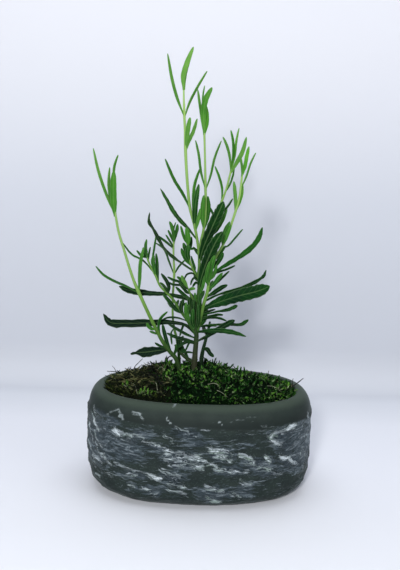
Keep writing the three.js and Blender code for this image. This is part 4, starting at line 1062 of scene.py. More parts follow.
def darkMeeting(colour, share, tone):
    # a moss's colour, with its share of the tone where the mats meet
    return blended(useGroup(meetingShade, "Shade") * share, colour, tone)


# Green moss: near black low on each shoot, as painted shade in its gaps, and deep green, with yellow-green
# tips and a few pale painted glints
newMaterial("livingMoss", Roughness=0.42, Specular_IOR_Level=0.05)
patches = mottled(0.07, 0.5)
tip = mark("tip")
toneShare = mark("tone") * 0.55 + between(patches["Shade"], 0.36, 0.64, 0.02, 0.48)
# low on each shoot the moss is near black, which is painted shade for the gaps between the shoots
low = ramp(toneShare, (0.2, 1, 7, 2), (0.8, 3, 21, 4))
high = ramp(toneShare, (0.2, 4, 26, 5), (0.45, 16, 54, 13), (0.65, 42, 90, 27), (0.85, 92, 138, 52))
pale = ramp(toneShare, (0.2, 44, 88, 44), (0.6, 124, 160, 106), (0.9, 196, 214, 166))
# the leaves marked to glint get a pale painted highlight towards the shoot's tip
glint = between(mark("glint"), 0.76, 0.92) * between(tip, 0.4, 0.8)
colour = darkMeeting(layered(low, (between(tip, 0.5, 1.05), high), (glint, pale)), 0.75, (8, 14, 12))
finished(colour, patches["Grain"], 0.4, 0.4, greenShoots)

# Dry moss: olive and brown strands with some that still live
newMaterial("dryMoss", Roughness=0.7, Specular_IOR_Level=0.08)
patches = mottled(0.1, 0.8)
dry = ramp(mark("tone") * 0.6 + patches["Shade"] * 0.4, (0.15, 6, 12, 5), (0.38, 18, 25, 12),
           (0.52, 42, 54, 27), (0.64, 68, 64, 41), (0.78, 98, 102, 66), (0.95, 150, 150, 116))
finished(darkMeeting(dry, 0.7, (14, 15, 17)), patches["Grain"], 0.5, 0.4, brownStrands)

newMaterial("fadedMoss", Roughness=0.55, Specular_IOR_Level=0.15)
patches = mottled(0.08, 0.8)
faded = ramp(mark("tone") * 0.5 + patches["Shade"] * 0.5, (0.2, 12, 24, 8), (0.5, 34, 50, 18),
             (0.7, 70, 82, 34), (0.9, 116, 128, 60))
# low on each shoot the faded moss is near black, as painted shade
colour = blended(between(mark("tip"), 0.35, 1.1), (7, 14, 6), faded)
finished(colour, patches["Grain"], 0.4, 0.4, brownShoots)

# The mats are seen only in the gaps, and their near-black greens and browns are painted shade there; straw
# is pale, and the twigs are grey-brown
for name, piece, roughness, specular, spots, tones, relief in [
        ("mossGaps", greenMat, 0.9, 0.05, (0.18, 1.6), [(0.3, 0, 7, 1), (0.55, 2, 17, 3), (0.75, 8, 32, 6)],
         (0.9, 1.2)),
        ("dryMossGaps", brownMat, 0.92, 0.05, (0.2, 1.5), [(0.3, 5, 9, 5), (0.55, 15, 20, 10),
                                                           (0.75, 34, 36, 20)], (0.9, 1.2)),
        ("paleStraw", dryStraws, 0.6, 0.3, (0.3, 2.0), [(0.35, 82, 88, 68), (0.6, 138, 144, 120)],
         (0.4, 0.3)),
        ("dryTwig", dryTwigs, 0.8, 0.2, (0.5, 2.4), [(0.35, 14, 16, 13), (0.65, 48, 48, 42)], (0.5, 0.4))]:
    newMaterial(name, Roughness=roughness, Specular_IOR_Level=specular)
    patches = mottled(*spots)
    finished(ramp(patches["Shade"], *tones), patches["Grain"], *relief, piece)

for piece in [greenMat, greenShoots]:
    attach(piece, "root")
for piece in [brownMat, brownStrands, brownShoots, dryStraws, dryTwigs]:
    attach(piece, "root")
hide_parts("moss_green")
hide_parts("moss_brown")

# The soil under the mats keeps the part's own solid
newMaterial("pottingSoil", Roughness=0.95)
crumbs = put("ShaderNodeTexVoronoi", "Distance", {"Vector": work["place"], "Scale": 0.45})
soil = ramp(mottled(0.15, 1.4)["Shade"], (0.3, 28, 21, 15), (0.55, 48, 37, 27), (0.75, 74, 60, 46))
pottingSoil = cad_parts["potting_soil"]
pottingSoil.data.materials.clear()
finished(blended(between(crumbs, 0.1, 0.7), soil, (20, 15, 11)), crumbs, 0.8, 1.5, pottingSoil)
print("moss, straws, twigs and soil are dressed")


# The plant. Stems and leaves are laid out as in the part's source, on the upright plane through
# the middle of the pot, as seen from the eye; a depth slides a point along its line of sight.

plant = {
    "eye": (-16, -529, 225), "stemFoot": 50, "stemSides": 3, "rows": 22, "thickness": 0.5, "lift": 0.2,
    "across": [-1, -0.76, -0.48, -0.2, -0.06, 0.06, 0.2, 0.48, 0.76, 1],
    "arch": 0.16,  # how far a blade's edges drop, as a share of half its width
    "groove": 0.1,  # how deep the midrib is sunk, likewise
    "ripple": 0.03,  # small waves along every edge, as a share of half the width
    "largeRipple": 0.075,  # and along a large leaf's, one with listed widths
    "rippleLength": 5.2,
    "waveLength": 13, "waveHeight": 0.45,  # a large leaf's edges wave up and down too
}

# Stems as (x, z, depth, radius), from root to tip
leftStem = [
    (-15.8, 82, -4, 1.6), (-17.1, 87.7, -4, 1.6), (-19.1, 92.1, -5, 1.6), (-22.6, 95.8, -5, 1.5),
    (-28, 102.9, -7, 1.4), (-33.9, 113.5, -9, 1.3), (-39, 123.6, -10, 1.25), (-44, 134, -12, 1.2),
    (-46.4, 139, -12, 1.35), (-50, 147, -13, 1), (-53.9, 158, -13, 0.95), (-57.4, 169, -13, 0.9),
    (-61.3, 181, -13, 0.85), (-63.5, 191.6, -13, 0.85), (-64.3, 196, -13, 0.8),
]
trunk = [
    (-5.1, 84, 0, 2.2), (-4.9, 91, 0, 2.1), (-4.6, 99, 0, 1.9), (-4.3, 105, 0, 1.8), (-4.3, 110, 0, 1.7),
    (-6, 117.5, 0, 1.4), (-5.8, 124.8, 0, 1.4), (-4.3, 134.6, -1, 1.35), (-3.5, 144, -1, 1.3),
    (-4.2, 152.4, -1, 1.3), (-3.9, 158.5, -1, 1.1), (-4.1, 165.6, -1, 1.1), (-5.2, 173.5, 0, 1),
    (-6.7, 181.5, 0, 1), (-8.7, 189.5, 1, 1), (-11.8, 200, 1, 1.1), (-13.5, 212, 2, 1.05),
    (-15.2, 228, 2, 1.05), (-16.2, 241, 3, 1.15), (-16.9, 253, 3, 0.85), (-17.7, 264, 3, 0.95),
    (-18.3, 274, 3, 0.65), (-18.7, 282, 3, 0.6),
]
centreShoot = [
    (-4.4, 168.5, -0.5, 0.8), (-3.2, 177.5, 1, 0.9), (-1.8, 184.6, 2, 0.9), (-0.8, 195, 3, 0.9),
    (-0.9, 206, 4, 0.85), (-1.4, 214.6, 5, 1), (-2, 227, 5, 0.75), (-2.9, 243, 5, 0.7), (-3.5, 252, 5, 0.8),
]
backShoot = [
    (-4, 161, -0.5, 0.7), (-2, 170, 1.5, 0.8), (1.5, 181, 3, 0.8), (5.5, 192.5, 3, 0.8), (9, 201.5, 3, 0.8),
    (10.9, 207, 3, 0.9), (13.2, 214, 4, 0.7), (14.9, 221.5, 4, 0.7), (16.3, 228, 5, 0.8),
]
rightShoot = [
    (-4, 111, 0, 1.2), (-2.6, 116.5, 0, 1.3), (-1.3, 124, -0.5, 1.3), (0.5, 133, -1, 1.2),
    (2.6, 141, -2, 1.2), (3.4, 149, -2, 1.1), (4.6, 157, -1, 1), (8, 166.5, -0.5, 0.9), (12, 174, 0, 0.9),
    (15.6, 182, 0.5, 0.9), (18, 190.5, 1, 0.9), (20.4, 199, 1, 0.95), (22.6, 208.5, 2, 0.8),
    (23.4, 217, 3, 0.75), (23.9, 225, 3, 0.7),
]
innerShoot = [
    (-4.4, 149.5, -1, 0.8), (-8, 156, -1.5, 0.75), (-10.7, 163, -2, 0.7), (-12.5, 171, -2.5, 0.7),
    (-12.9, 176, -3, 0.6),
]
lowLeftShoot = [
    (-4.5, 108.5, 0, 1), (-10.7, 118.9, -1, 1.1), (-16.6, 126.8, -2, 1), (-21.1, 133.6, -3, 0.95),
    (-26, 138.8, -3.5, 0.9), (-31.4, 144.2, -4, 0.8), (-34.6, 151, -5, 0.75), (-37.6, 156.2, -5, 0.7),
    (-40.2, 161.8, -6, 0.7), (-41.3, 165, -6, 0.6),
]
smallShoot = [
    (-5.2, 130, -0.5, 0.7), (-8, 136, -0.5, 0.7), (-10.8, 141.5, 0, 0.7), (-13.4, 146.4, 0, 0.6),
]
baseTwig = [
    (-5, 89, 0.5, 1.1), (-8.5, 90.2, 2, 1.2), (-13, 93.5, 2.5, 1.2), (-17, 97.5, 2.5, 1),
    (-19.5, 101.5, 2.5, 0.7),
]
thinStem = [
    (-15.6, 82, 8, 1.2), (-16.1, 90, 8, 1.2), (-17, 98.5, 8, 1.1), (-18.6, 107, 8.5, 1),
    (-20.4, 113.5, 9, 0.9), (-21.7, 123, 9.5, 0.8), (-22, 138, 10, 0.8), (-21.5, 153.8, 11, 0.95),
    (-22.2, 164, 11, 0.65), (-22.6, 172, 10, 0.8), (-22.5, 177, 10, 0.6),
]
darkStem = [
    (-0.1, 83, 0, 1.6), (0, 92, 0, 1.6), (1.1, 99.5, 0, 1.3), (2.4, 105, 0.3, 1.2), (3.4, 110, 0.5, 1.2),
    (4.6, 115.5, 0.8, 0.9), (5.2, 119.2, 1, 0.7),
]

# Leaves as (width or widths, turn in degrees, tone from 0 for dark to 1 for pale, depths, and then
# the x and z of every point)
leftLeaves = [
    (2.8, 48, 0.76, (-13, -16), -64.2, 194, -67.2, 200, -72, 211, -76.8, 225, -80.1, 239.3),
    (2.6, 50, 0.7, (-13, -8), -64.4, 195, -66.6, 200.5, -69.1, 213.6, -68.8, 226.5),
    (4.8, 12, 0.54, (-13, -17), -64.1, 192.5, -65.3, 201, -65.9, 213, -65.5, 224.3),
    (2.4, 55, 0.66, (-12.5, -6), -64.3, 195.5, -65.4, 212, -65.6, 226, -63.1, 235.3),
    (2.5, 52, 0.42, (-12, -17), -46.4, 138.4, -54.7, 143, -63.2, 146.4, -71.6, 151, -77.3, 157),
    (2.9, 40, 0.55, (-12, -15.5), -46.3, 138.6, -46.1, 149, -45.8, 160, -43.7, 171.6),
    (2.8, 30, 0.45, (-9, -13), -33.4, 112.4, -36.6, 112.7, -38.9, 114.3, -40.4, 117),
    (2.2, 50, 0.4, (-8, -12), -31.2, 108.8, -35, 110, -38.1, 110.9),
    (2.6, 52, 0.3, (-8, -6.5), -30.4, 107, -31.9, 114, -30.8, 120.2, -25.7, 126),
    (3, 25, 0.14, (-5, -4.5), -21.6, 95, -25, 102.5, -27.3, 110, -28.9, 116.4),
    (2.2, 45, 0.2, (-5.5, -1), -24.9, 98.4, -30.2, 100.4, -34.1, 102.6),
    ([2.2, 4.6, 5.8, 7, 7.6, 7.4, 5, 1.8, 2.2, 2], 12, -0.08, (-5, -3),
     -24.6, 97.8, -33.2, 96.6, -40.8, 95.4, -47, 94.8, -51.6, 93.6),
    (2.4, 30, 0.3, (-5, -12), -20.3, 93.3, -18.8, 97.5, -18.6, 102),
]
tallLeaves = [
    (3.6, 15, 0.8, (3, 0), -18.7, 280.5, -19.3, 289.5, -17.2, 298, -12.7, 309.6),
    (3.2, 45, 0.85, (3, 6), -18.6, 280.5, -18.3, 290, -16.7, 297.5, -14.4, 305),
    (2.7, 46, 0.75, (3, -4), -17.8, 263, -23.1, 275, -27.1, 288, -30.4, 304.5),
    (2.5, 58, 0.75, (3, 9), -17.6, 263, -14.7, 272, -9.9, 282, -3.2, 294),
    (3.2, 15, 0.7, (3, -4), -16.3, 240.5, -15.3, 250, -14.6, 256.5, -13.6, 262.4),
    (3, 38, 0.7, (3, 1), -16, 239, -14.2, 246, -11.4, 252.5, -8.7, 261.8),
    (2.8, 52, 0.5, (1, -5), -11.9, 200.5, -16.4, 209, -23.4, 219.7, -29.9, 233.8),
    ([1.2, 1.5, 1.9, 2.6, 3.2, 3.4, 3, 2.6, 2.2, 1.4], 26, 0.16, (0, -6),
     -6.6, 178.5, -12.6, 185.5, -20.8, 193.7, -26.8, 202.8, -33, 213.2),
    (2.8, 30, 0.6, (0.5, -4), -7.2, 184.5, -6.3, 189.5, -5.2, 195, -4.5, 200),
    (4.2, 24, 0.25, (1, -5), -8.4, 187.5, -8.4, 195.5, -8.1, 204, -6.1, 217.2),
    (2.6, 48, 0.55, (1, 4), -9, 190, -9.8, 203, -9.3, 216, -5.8, 228.4),
]
centreLeaves = [
    (4.2, 12, 0.6, (5, 1), -3.4, 250.5, -4.5, 264, -3.6, 274, 0.9, 283.2),
    (2.6, 35, 0.75, (5, 8), -3.3, 250.5, -1.7, 258, -1.7, 264, -2.6, 270.4),
    (2.4, 50, 0.72, (5, 2), -3.4, 249.5, -5.6, 261, -7.7, 273, -9.1, 281.4),
    (2, 60, 0.72, (5, 10), -3.4, 250, -4.8, 265, -5.2, 276, -4.3, 284),
    (2.6, 54, 0.65, (5, 0), -1.4, 213.5, -5, 225, -7, 237, -9.5, 247),
    (2.3, 58, 0.65, (5, 10), -1.3, 213.8, 1.6, 223, 4.1, 235.5, 8.2, 247.4),
    (3.4, 24, 0.6, (2, -3), -1.6, 185.5, -2.8, 193, -3, 201.5, -2.3, 209.5),
    (3.2, 24, 0.5, (2, 8), -1.5, 185, 0.6, 193, 1.4, 201, 0.4, 209),
]
backLeaves = [
    (2.3, 54, 0.62, (3, -3), 10.7, 206.5, 10.5, 214.5, 8.3, 222, 5, 229.8),
    (2.4, 42, 0.66, (4.5, 0), 15.9, 226, 14.6, 236.5, 12.3, 244, 9.4, 250),
    (2.2, 50, 0.62, (5, 3), 16.2, 227, 17.4, 238, 16.9, 247, 15.1, 254.8),
    (2.2, 50, 0.9, (5, 9), 16.4, 227, 18.4, 238, 19, 247, 20.5, 256.4),
    (3.2, 18, 0.75, (4.5, 1), 16.2, 225.5, 20, 233, 23.4, 240, 25.9, 250.6),
    (2, 58, 0.6, (3.5, 10), 12.3, 211, 15.6, 217, 17.5, 223, 18.4, 229),
    (2.4, 60, 0.2, (3, 9), 5.4, 191.5, 10.5, 197.5, 14.6, 202.3, 17.8, 207.8),
    (3.2, 34, 0.5, (3, -2), 1.2, 179, 6.6, 184.5, 10.7, 191.3, 14.4, 200.6),
    (2, 40, 0.3, (3, 10), 5.8, 193, 4.3, 197, 1.9, 201.4),
]
rightLeaves = [
    (2.2, 45, 0.75, (3, -3), 23.7, 222, 23.4, 230, 22.6, 234, 21.4, 239.2),
    (2.8, 22, 0.85, (3, 5), 23.7, 223, 25.6, 230, 26.6, 237, 27.9, 244.2),
    (2, 58, 0.72, (3, 9), 23.3, 215.5, 26.5, 223, 29.1, 232, 32.5, 240),
    (2.8, 28, 0.78, (1.5, -3), 20.1, 198, 20, 206, 19.2, 213, 18.3, 219.8),
    (2.6, 40, 0.82, (1.5, 8), 20.3, 198, 22.9, 205, 24.4, 211, 24.7, 218),
    (2.9, 25, 0.4, (0, -4), 12.1, 173, 12.2, 180, 13.8, 186, 16.8, 191.6),
    (2.4, 64, 0.3, (0, 8), 12, 173.5, 15.8, 174.5, 20.5, 180, 25.7, 186.7),
    (3, 18, 0.55, (0, -2.5), 11.4, 172.8, 13.9, 179, 15.7, 184.5, 17.6, 189.4),
    (2.6, 36, 0.4, (-0.5, 6), 7.2, 164, 9.8, 167, 12.2, 171, 14.4, 174.4),
    (3.6, 22, 0.25, (-1, 2), 5, 157, 8.6, 161.5, 11.2, 165.5, 12.8, 169.4),
    (4.2, 10, 0.42, (-2.5, -9), 3.3, 147, 3.4, 153, 4.6, 160, 6.8, 167.5),
    (3, 28, 0.45, (-2.5, -13), 3.2, 145, 1.4, 150, 1.9, 156, 3.5, 163),
    (2.6, 30, 0.5, (-2, -7), 3.6, 149, 6.3, 152.5, 7.6, 156.5, 8.4, 161),
    ([1.6, 1.9, 2.4, 3, 3.6, 4, 4, 3.7, 3, 1.8], 24, 0.25, (-2, -9),
     4.1, 153.5, 11.1, 158.2, 21.6, 165, 31.6, 172.7, 37.4, 180.5, 39.6, 188.6),
    (2.5, 62, 0.2, (-1.5, 4), 4.1, 153, 9, 155.3, 16.5, 158.1, 21.4, 160.6),
    (2.4, 56, 0.2, (-2, 6), 3.2, 144, 7.9, 147, 12, 151, 17.4, 156.5),
    (3.2, 25, 0.3, (-2, -7), 3, 142.5, 6.2, 145.5, 10, 151, 12.9, 155),
    ([1.6, 1.8, 2, 2.3, 2.7, 3, 3, 2.6, 2.2, 1.4], 44, 0.15, (-0.5, 8),
     0.8, 134, 10.4, 138.9, 24.5, 143.6, 37.7, 149.6, 42.4, 153.6, 43.9, 158),
    ([2, 4, 6.4, 8.2, 9, 9.4, 9.5, 9, 6.8, 3.4], 10, 0.1, (-0.5, -10),
     -0.2, 128.4, 10.6, 133.4, 24.7, 138.5, 38.9, 142.6, 47.3, 146.4),
    (3.6, 22, 0.1, (-1.5, 8), 2.3, 137.2, 7.4, 140.4, 12.4, 144, 16.8, 146.2),
    ([1.4, 1.4, 1.5, 1.7, 2, 2.4, 2.8, 3.2, 3.2, 2.6], 32, 0.15, (-0.5, 6),
     -1.2, 124, 9.9, 126.5, 19.3, 128.8, 24.7, 131.6),
    (2, 52, 0.2, (-0.5, 12), -0.8, 125.6, 4.1, 127.1, 8.3, 128.4),
    (2.4, 56, 0.12, (0, -8), -1.6, 121.8, 5, 123.4, 10.6, 124.7, 14.6, 124.8),
    (2.3, 56, 0.12, (0, -5), -1.7, 120.6, 5.2, 122.4, 11.5, 122.3, 17.3, 120.4),
    (2, 52, 0.2, (-0.5, -7), -2.8, 115.6, 1, 116.2, 5.6, 116.8, 10.2, 116.4),
    (3.4, 18, 0.35, (0, 5), -2.7, 115.4, 0.4, 119.6, 1.9, 125.5, 2.3, 132),
    (3.8, 12, 0.3, (0, 5), -3.4, 113.4, -3.7, 118.5, -3.2, 125.5, -1.9, 134),
    ([1.6, 2, 2.6, 3.2, 3.6, 3.8, 3.8, 3.4, 2.6, 1.6], 22, 0.15, (0, -8, -10, -12, -14),
     -3.6, 111.4, 2, 112.1, 10, 112.7, 21, 112, 31.9, 109),
]
trunkLeaves = [
    ([2, 3.2, 5, 6.4, 7.2, 7.6, 7.4, 6.6, 5.4, 3.4], 14, 0.15, (-1, -12),
     -4.1, 161.8, -1.5, 172.5, 3.8, 186.3, 8.8, 198.4, 11.7, 205.6),
    ([2.4, 3.6, 5, 6.6, 7.8, 8.4, 8.4, 7.6, 6, 3.4], 12, 0.16, (-1, -14),
     -3.7, 143.5, -1.9, 152.4, 2, 164.5, 6.7, 176, 11.6, 184.6),
    (2, 45, 0.4, (-0.5, 10), -4.8, 167, -6.2, 169.3, -8.4, 172.9),
    (1.8, 45, 0.3, (0, -8), -4.8, 170.5, -8, 171.8, -10.4, 171.2),
    (2, 55, 0.15, (-1, -7), -4.2, 150.5, -8.6, 154, -12.5, 153, -14.4, 149.2),
    (2, 50, 0.15, (-1, -9), -3.8, 148.2, -6.6, 151, -8.7, 149, -9.7, 145.2),
    (2, 40, 0.15, (-1, -6), -3.6, 145.8, -5.9, 147.2, -8.3, 144),
    (3.6, 38, 0.1, (-1, 3), -5, 132, -11, 135.4, -18, 137, -26.6, 138.6),
    (2.8, 40, 0.18, (-0.5, -7), -5.2, 131.5, -10, 135, -15.5, 139.6, -20, 143.9),
    (3.4, 20, 0.2, (-0.5, -8), -5.5, 113.5, -7.3, 117.6, -7.7, 122.5, -7.2, 128.6),
    (3, 20, 0.15, (-0.5, -8), -4.6, 113, -3.6, 117.5, -3.4, 124, -4, 132),
    (2.2, 20, 0.5, (-1, -6), -4.4, 133.2, -5.8, 136, -6.4, 140),
    ([2, 2.2, 2.4, 3.2, 4.6, 6, 5.6, 6.2, 4.4, 2], 14, -0.04, (0, 3),
     -4.4, 109.5, -12, 115.9, -23.6, 118, -38.9, 117, -55, 116.2, -66.5, 116.6, -71.6, 123),
    (2.7, 42, 0.16, (0, 3), -4.5, 106.5, -12, 109.8, -19, 113.5, -25.2, 117),
    (2.8, 36, 0.08, (0, -1), -4.3, 104, -12, 105.6, -19, 107.2, -25.8, 110),
    (2.7, 36, 0.06, (0, -7), -4.6, 102.8, -10.5, 104, -15.3, 101.6, -17.3, 99.4),
    (2.1, 50, 0.08, (0, -2), -4.9, 95.6, -9, 96.4, -13, 96.2, -16.3, 97),
    (1.9, 55, 0.08, (0, -4), -4.4, 102, -9, 103.2, -11, 99.4, -12.7, 95.4),
    (2.8, 22, 0.12, (2.5, 3.5), -13, 93.5, -15, 97.5, -17.2, 103, -17.2, 108),
    (2.6, 30, 0.2, (2, 4), -9, 90.8, -11.6, 95.6, -14, 99.6, -15, 104.6),
    (2, 50, 0.12, (-0.5, -7), -4.8, 103.4, -0.5, 106.5, 3, 109),
    (3.6, 22, 0.08, (-0.5, -7), -5.6, 121, -8.6, 125.6, -9.6, 130.4, -10.8, 136.6),
    (3, 18, 0.06, (-0.5, -10), -5.9, 119, -7.4, 124, -7, 129.5, -7.4, 135),
    (2.8, 30, 0.1, (-0.5, -5), -5.6, 127, -7, 131, -9.6, 134.6, -13, 137.4),
    (2.2, 34, 0.5, (0, -4), -4.9, 111.5, -7.2, 116, -9.6, 120.4, -11.4, 125.4),
    (2.8, 20, 0.2, (-0.5, -7), -4.6, 126, -3.3, 130, -2.6, 135, -2.8, 140),
    (2.6, 24, 0.45, (-1, -5), -3.8, 138, -1.9, 142, -0.5, 147, 0, 152.5),
    (2.6, 36, 0.12, (0, 5.5), -5, 123, -9, 128, -13, 131, -17, 133.4),
    (3.4, 20, 0.3, (0, 24), -5.8, 117, -8.5, 118.8, -9.4, 122),
    (3.4, 20, 0.3, (-1, 26), -4.4, 133, -7.2, 135.4, -9.5, 139.5),
    (3.4, 20, 0.35, (-1, 28), -4.2, 134, -2, 137, 0.4, 141.5),
    (3.2, 20, 0.35, (-1, 24), -3.8, 148, -5.8, 151, -6.8, 156),
    (3.2, 20, 0.35, (-1, 27), -3.6, 147, -1, 150, 1.5, 154.5),
    (3, 20, 0.4, (-1, 20), -4.3, 166, -3.4, 170, -2, 176),
    (3, 20, 0.4, (0.5, 19), -7.2, 183.5, -7.6, 188, -7, 194),
    (3.2, 20, 0.3, (0, 24), -2.6, 116, 0.4, 119, 2.6, 122.6),
    (3.2, 20, 0.35, (-2, 23), 2.4, 140.4, 4.4, 143.6, 6.2, 149),
    (3, 20, 0.4, (-1, 21), 4.4, 156.2, 5.6, 160.4, 6.4, 166),
]
innerLeaves = [
    (3.8, 15, 0.6, (-2.5, -6), -12.7, 172.6, -12.4, 177.5, -13, 182, -14, 186.4),
    (2.5, 40, 0.55, (-3, -1), -12.8, 174.5, -14.6, 178, -16.3, 182.5, -17.9, 187.4),
    (2.8, 35, 0.25, (-2.5, 6), -12.4, 170, -10.7, 172.6, -10, 180),
    (3.2, 25, 0.35, (-2.5, -9), -12, 166.5, -14.1, 170.8, -15.9, 175.4),
    (3.8, 15, 0.3, (-2, -9), -11.1, 163, -12.5, 167, -12.1, 174.4),
    (3.4, 30, 0.4, (-2, 1), -9.8, 159.6, -12.4, 162.6, -14.9, 166.5, -17.1, 171.6),
    (2.2, 40, 0.35, (-1.5, 5), -7.3, 154.6, -7, 157.5, -8.3, 161.5, -10, 166.4),
    ([1.6, 2, 2.4, 2.7, 3, 3.2, 3.2, 2.8, 2.2, 1.2], 50, 0.12, (-1.5, -8),
     -8, 155.6, -18, 161.7, -28.5, 170, -36.5, 183, -40.5, 190, -40, 196.2),
]
lowLeftLeaves = [
    (2, 58, 0.4, (-5, -2), -35.8, 153.2, -43.7, 162, -51.6, 166, -58.8, 174.4),
    (2.5, 35, 0.4, (-6, -9), -40.7, 163, -41.8, 168, -42.4, 172, -41.6, 177.2),
    (2.3, 35, 0.35, (-6, -3), -40.8, 163.4, -42.6, 166.5, -44.3, 171),
    (2, 55, 0.4, (-6, -1), -40.2, 161.8, -39.8, 166, -38.8, 171.8),
    (2, 50, 0.35, (-6, -8), -41, 164.4, -45, 165.6, -48.3, 169.2),
    (3.2, 25, 0.35, (-5, -8), -34.7, 151, -36, 157, -36.9, 162, -36.4, 166.3),
    (2.6, 35, 0.35, (-4, 1), -32.6, 146.8, -33.4, 153.5, -33.8, 160.5, -34.8, 167.5),
    (2, 54, 0.4, (-5, -1), -37.8, 157, -37.2, 165, -36.3, 172, -35.4, 179.8),
    ([2.4, 3, 3.6, 4.2, 4.8, 4.9, 4.7, 4.2, 3.2, 2], 22, 0.04, (-3, 3),
     -25.6, 138.4, -37, 138.6, -47, 139.3, -54.5, 140.6, -60.7, 143),
    (3, 30, 0.2, (-2, -8), -15.2, 125, -19.4, 127.4, -24, 132.8, -29, 138.4),
    (2.3, 34, 0.1, (-3.5, -8), -25.2, 138, -26.9, 141.6, -28.8, 144.2, -31.6, 146.7),
    (3, 30, 0.12, (-3.5, 1), -25.4, 138.4, -25, 143.4, -27, 148.2, -30.9, 153.2),
    (2, 54, 0.15, (-1, 3), -10.9, 119, -18, 121.4, -25, 121.4, -30, 119.2),
    (2.1, 50, 0.15, (-0.5, -5), -8.6, 115.5, -13.3, 116.4, -15.3, 112, -16.3, 107.6),
    (2.5, 25, 0.5, (-1, -9), -10.2, 118.4, -12, 123, -12.8, 128, -12.4, 133),
    (2.4, 24, 0.4, (-0.5, -6), -9.2, 116.6, -10.5, 121.5, -11, 126.5, -10.4, 131.6),
    (3.4, 22, 0.08, (-1.5, -6), -13.9, 123.6, -15.9, 127.4, -15.8, 131, -14.2, 135.4),
]
smallLeaves = [
    (2.3, 42, 0.22, (0, -5), -13, 145.6, -17.5, 147.6, -22, 148.8, -26.4, 150.8),
    (2.2, 50, 0.15, (0, 3), -12.7, 145, -17.5, 145.2, -22.5, 145.6, -27, 147.6),
    (2.5, 40, 0.35, (0, -4), -13, 145.8, -15.6, 148.6, -19.2, 151.2),
    (3, 26, 0.82, (0, -9), -11.6, 142.6, -13.4, 146.2, -15.2, 149.2, -16.4, 152),
    (2.6, 36, 0.7, (0, -6), -10.7, 141.4, -8.8, 142.8, -6.3, 143.2),
    (2.8, 34, 0.2, (0, -9), -11.4, 142.4, -14.8, 144.8, -17.7, 147.2),
    (2.8, 36, 0.2, (-0.5, 6), -9.7, 139.2, -12, 140.2, -14.6, 143.2, -18.4, 147.6),
]
thinLeaves = [
    (2.9, 30, 0.45, (10, 6), -22.5, 175, -22.7, 181, -24.1, 186, -25.9, 190.3),
    (2.9, 30, 0.45, (10, 14), -22.4, 174.5, -21.6, 180, -20.4, 184.5, -20.1, 188.6),
    (2.4, 40, 0.4, (10, 17), -22.6, 175.4, -23.8, 178.8, -26.8, 184.2),
    (2, 50, 0.4, (10, 3), -22.6, 172, -25.2, 176, -28.4, 180.8),
    (1.9, 60, 0.4, (10, 18), -22.4, 176.2, -23, 183, -21.4, 189.8),
    (2.2, 56, 0.35, (10, 4), -22.5, 171.5, -28, 176, -35, 180.7),
    (2, 60, 0.35, (11, 5), -21.6, 153.4, -25, 161.5, -29, 170.6, -35.3, 175.2),
    (2, 60, 0.35, (11, 17), -21.5, 153.4, -18.6, 158.5, -13.9, 163.9),
    (2, 56, 0.3, (9, 5), -20.5, 113.8, -22.6, 110, -22.3, 105, -21.7, 101.5),
    (2.8, 20, 0.25, (8.2, 27), -17.6, 102, -15.4, 104.6, -13.6, 108),
    (2.6, 20, 0.3, (9.8, 28), -21.8, 128, -24, 131.2, -26, 135.4),
    (2.6, 20, 0.3, (9.8, 27), -21.7, 127.2, -19.4, 130, -17.8, 134.4),
]
darkLeaves = [
    ([2, 2.8, 3.4, 3.8, 4.2, 4.4, 4.2, 3.8, 3.2, 2.2], 18, 0.1, (0.5, 3),
     2.8, 107.6, 7.9, 111.5, 14.5, 115.7, 19.6, 118.9, 23.1, 120.8),
    ([1.4, 1.5, 1.7, 1.9, 2, 2.1, 2.4, 2.9, 3, 2.4], 24, 0.12, (0.8, 10),
     4.9, 117, 12, 117.2, 20.7, 117.7, 27.5, 117.7, 33, 121.6),
    ([2, 3, 3.4, 3.4, 2.8, 2], 22, 0.04, (0, -5), 0.9, 98.6, 3.6, 98.8, 6, 95.9, 8.9, 93.2),
    (2.2, 50, 0.12, (0.8, -3), 4.5, 115.4, 7.2, 117, 10.4, 117.2),
    (2, 45, 0.12, (0.8, 7), 4.4, 115, 2.8, 116.4, 1.3, 116.2),
    (2, 40, 0.1, (0.3, 7), 2.5, 106, 0.8, 106.8, -0.9, 105.6),
    (3, 20, 0.12, (0.5, 22), 3.4, 109.6, 1.6, 112.6, 0.2, 116.6),
]


def bladeMaster():
    # a flat blade, one unit long and two wide, with its rows closer together towards the tip
    across = plant["across"]
    bpy.ops.mesh.primitive_grid_add(x_subdivisions=len(across) - 1, y_subdivisions=plant["rows"], size=2)
    blade = bpy.context.object
    for vertex in blade.data.vertices:
        column = round((vertex.co.x + 1) / 2 * (len(across) - 1))
        vertex.co = (across[column], 1 - (1 - (vertex.co.y + 1) / 2) ** 1.25, 0)
    # the blade's own layout: u across it and v along it
    layout = blade.data.uv_layers.active
    for loop in blade.data.loops:
        place = blade.data.vertices[loop.vertex_index].co
        layout.data[loop.index].uv = (place.x / 2 + 0.5, place.y)
    return blade


def bladeShare(share):
    root = 0.4 + 0.6 * ease(0, 0.4, share)
    tip = 1 if share < 0.6 else math.sqrt(max(0, 1 - ((share - 0.6) / 0.4) ** 2.2))
    return root * tip


def edgeWave(along, length):
    reach = plant["waveLength"]
    fade = ease(0, reach, along) * ease(0, reach, length - along)
    return plant["waveHeight"] * fade * math.sin(along / reach * math.pi * 2)


